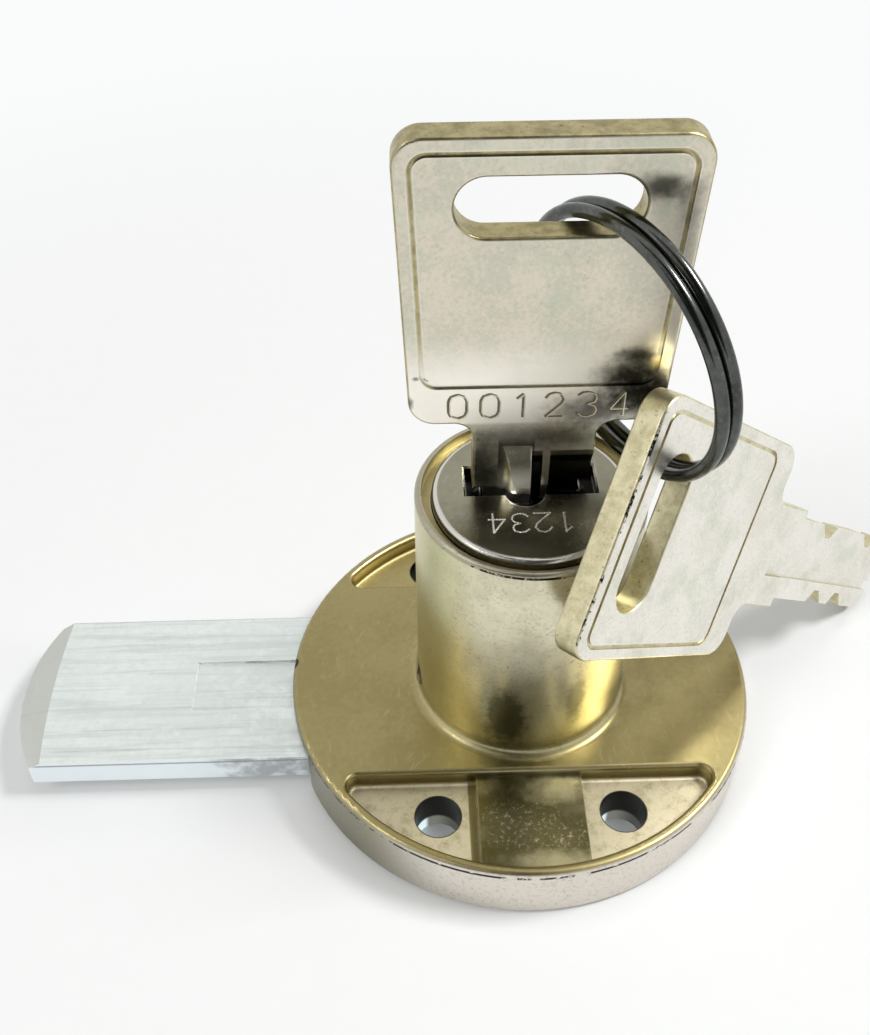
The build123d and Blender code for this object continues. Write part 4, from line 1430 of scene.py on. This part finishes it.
@dataclass
class Studio:
    """Table, sky, lamps, dark card and camera."""

    eye: Triple = (-8.99, -65.44, 88.71)
    right: Triple = (0.9996, -0.0292, -0.0051)
    up: Triple = (0.0240, 0.6965, 0.7172)
    lens: float = 40.56
    clip_start: float = 5.0
    table_half: float = 3000.0
    table_level: float = -0.1
    table_colour: Colour = (0.80, 0.81, 0.81)
    fibre_scale: float = 0.4
    fibre_shade: float = 0.97
    table_glow: float = 0.30
    mirrored_glow: float = 0.42
    shelter: float = 2.4
    ambient: Colour = (0.26, 0.255, 0.235)
    backdrop: Colour = (0.955, 0.965, 0.97)
    fade: Span = (55.0, 170.0)
    horizon: Colour = (0.95, 0.95, 0.95)
    overhead: Colour = (0.87, 0.87, 0.87)
    sky_rise: Span = (0.25, 0.75)
    card_middle: Triple = (-25.0, -72.0, 96.0)
    card_width: float = 130.0
    card_height: float = 160.0
    card_scale: float = 0.02
    card_dark: Colour = (0.015, 0.014, 0.01)
    card_pale: Colour = (0.035, 0.032, 0.024)
    card_roughness: float = 0.9

    def build(self) -> None:
        """Set up everything that isn't part of the lock."""
        self.table()
        self.sky()
        for lamp in LAMPS:
            lamp.hang()
        self.card()
        self.camera()

    def panel(self, name: str, corners: Sequence[Vector], material: bpy.types.Material) -> bpy.types.Object:
        """Make a flat panel that isn't part of the lock.

        Args:
            name: the panel's name.
            corners: its four corners, in metres.
            material: its surface.

        Returns:
            The panel.
        """
        panel = add_mesh(name, corners, [(0, 1, 2, 3)], material)
        return panel

    def table(self) -> None:
        """Lay a white table that keeps the soft shadows and fades into the backdrop far out."""
        material = bpy.data.materials.new("white table")
        material.use_nodes = True
        material.node_tree.nodes.clear()
        graph = Graph(material.node_tree)
        spot = graph.spot()
        fibre = graph.noise(spot, self.fibre_scale, 4.0)
        pale = tuple(value * self.fibre_shade for value in self.table_colour)
        paper = graph.add("BsdfDiffuse", {"Color": graph.mix(fibre, self.table_colour, pale)})
        shelter = graph.add("AmbientOcclusion", {"Distance": self.shelter * MM}, samples=8).outputs["AO"]
        glow = graph.add("Emission", {"Color": self.backdrop, "Strength": shelter})
        rays = graph.add("LightPath").outputs
        far = graph.smooth(graph.radius(spot), *self.fade)
        seen, mirrored = (graph.times(rays[ray], graph.lean(far, share, 1.0)) for ray, share in (
            ("Is Camera Ray", self.table_glow), ("Is Glossy Ray", self.mirrored_glow)))
        shares = {0: graph.math("MAXIMUM", seen, mirrored), 1: paper.outputs[0], 2: glow.outputs[0]}
        graph.add("OutputMaterial", {"Surface": graph.add("MixShader", shares).outputs[0]})
        half, level = self.table_half * MM, self.table_level * MM
        corners = [Vector((x * half, y * half, level)) for x, y in ((-1, -1), (1, -1), (1, 1), (-1, 1))]
        self.panel("table_top", corners, material)

    def sky(self) -> None:
        """Make the surroundings white to the camera, pale to the metal and dim to the table."""
        world = bpy.data.worlds.new("studio")
        bpy.context.scene.world = world
        world.use_nodes = True
        world.node_tree.nodes.clear()
        graph = Graph(world.node_tree)
        heading = graph.add("TexCoord").outputs["Generated"]
        rise = graph.smooth(graph.part(heading, Way.Z), *self.sky_rise)
        rays = graph.add("LightPath").outputs
        colour = graph.mix(rays["Is Glossy Ray"], self.ambient, graph.mix(rise, self.horizon, self.overhead))
        colour = graph.mix(rays["Is Camera Ray"], colour, self.backdrop)
        sky = graph.add("Background", {"Color": colour, "Strength": 1.0})
        graph.add("OutputWorld", {"Surface": sky.outputs[0]})

    def card(self) -> None:
        """Stand a dark card beside the camera, which only the metal sees."""
        material = bpy.data.materials.new("dark card")
        material.use_nodes = True
        shader = material.node_tree.nodes["Principled BSDF"]
        graph = Graph(material.node_tree)
        cloud = graph.noise(graph.spot(), self.card_scale)
        graph.feed(shader.inputs["Base Color"], graph.mix(cloud, self.card_dark, self.card_pale))
        graph.feed(shader.inputs["Roughness"], self.card_roughness)
        middle = Vector(self.card_middle) * MM
        back = (middle - Vector(AIM)).normalized()
        side = Vector(Way.Z.value).cross(back).normalized() * (self.card_width * MM / 2)
        rise = back.cross(side).normalized() * (self.card_height * MM / 2)
        corners = [middle - side - rise, middle + side - rise, middle + side + rise, middle - side + rise]
        card = self.panel("dark_card", corners, material)
        for ray in ("camera", "diffuse", "shadow", "transmission"):
            setattr(card, "visible_" + ray, False)

    def camera(self) -> None:
        """Stand the camera where the picture was taken."""
        data = bpy.data.cameras.new("camera")
        data.lens = self.lens
        data.clip_start = self.clip_start * MM
        holder = bpy.data.objects.new("camera", data)
        right, up = Vector(self.right).normalized(), Vector(self.up)
        back = right.cross(up).normalized()
        turn = Matrix((right, back.cross(right), back)).transposed()
        holder.matrix_world = Matrix.Translation(Vector(self.eye) * MM) @ turn.to_4x4()
        bpy.context.scene.collection.objects.link(holder)
        bpy.context.scene.camera = holder


def main() -> None:
    """Dress the lock and set the scene."""
    logging.basicConfig(level=logging.INFO, format="%(name)s: %(message)s")
    for assembly in (Casting(), SlidingBolt(), Core(), Keys(), SplitRing(), Studio()):
        assembly.build()
        LOG.info("built %s", type(assembly).__name__)
    bpy.context.scene.view_settings.view_transform = "Standard"


if __name__ == "__main__":
    main()
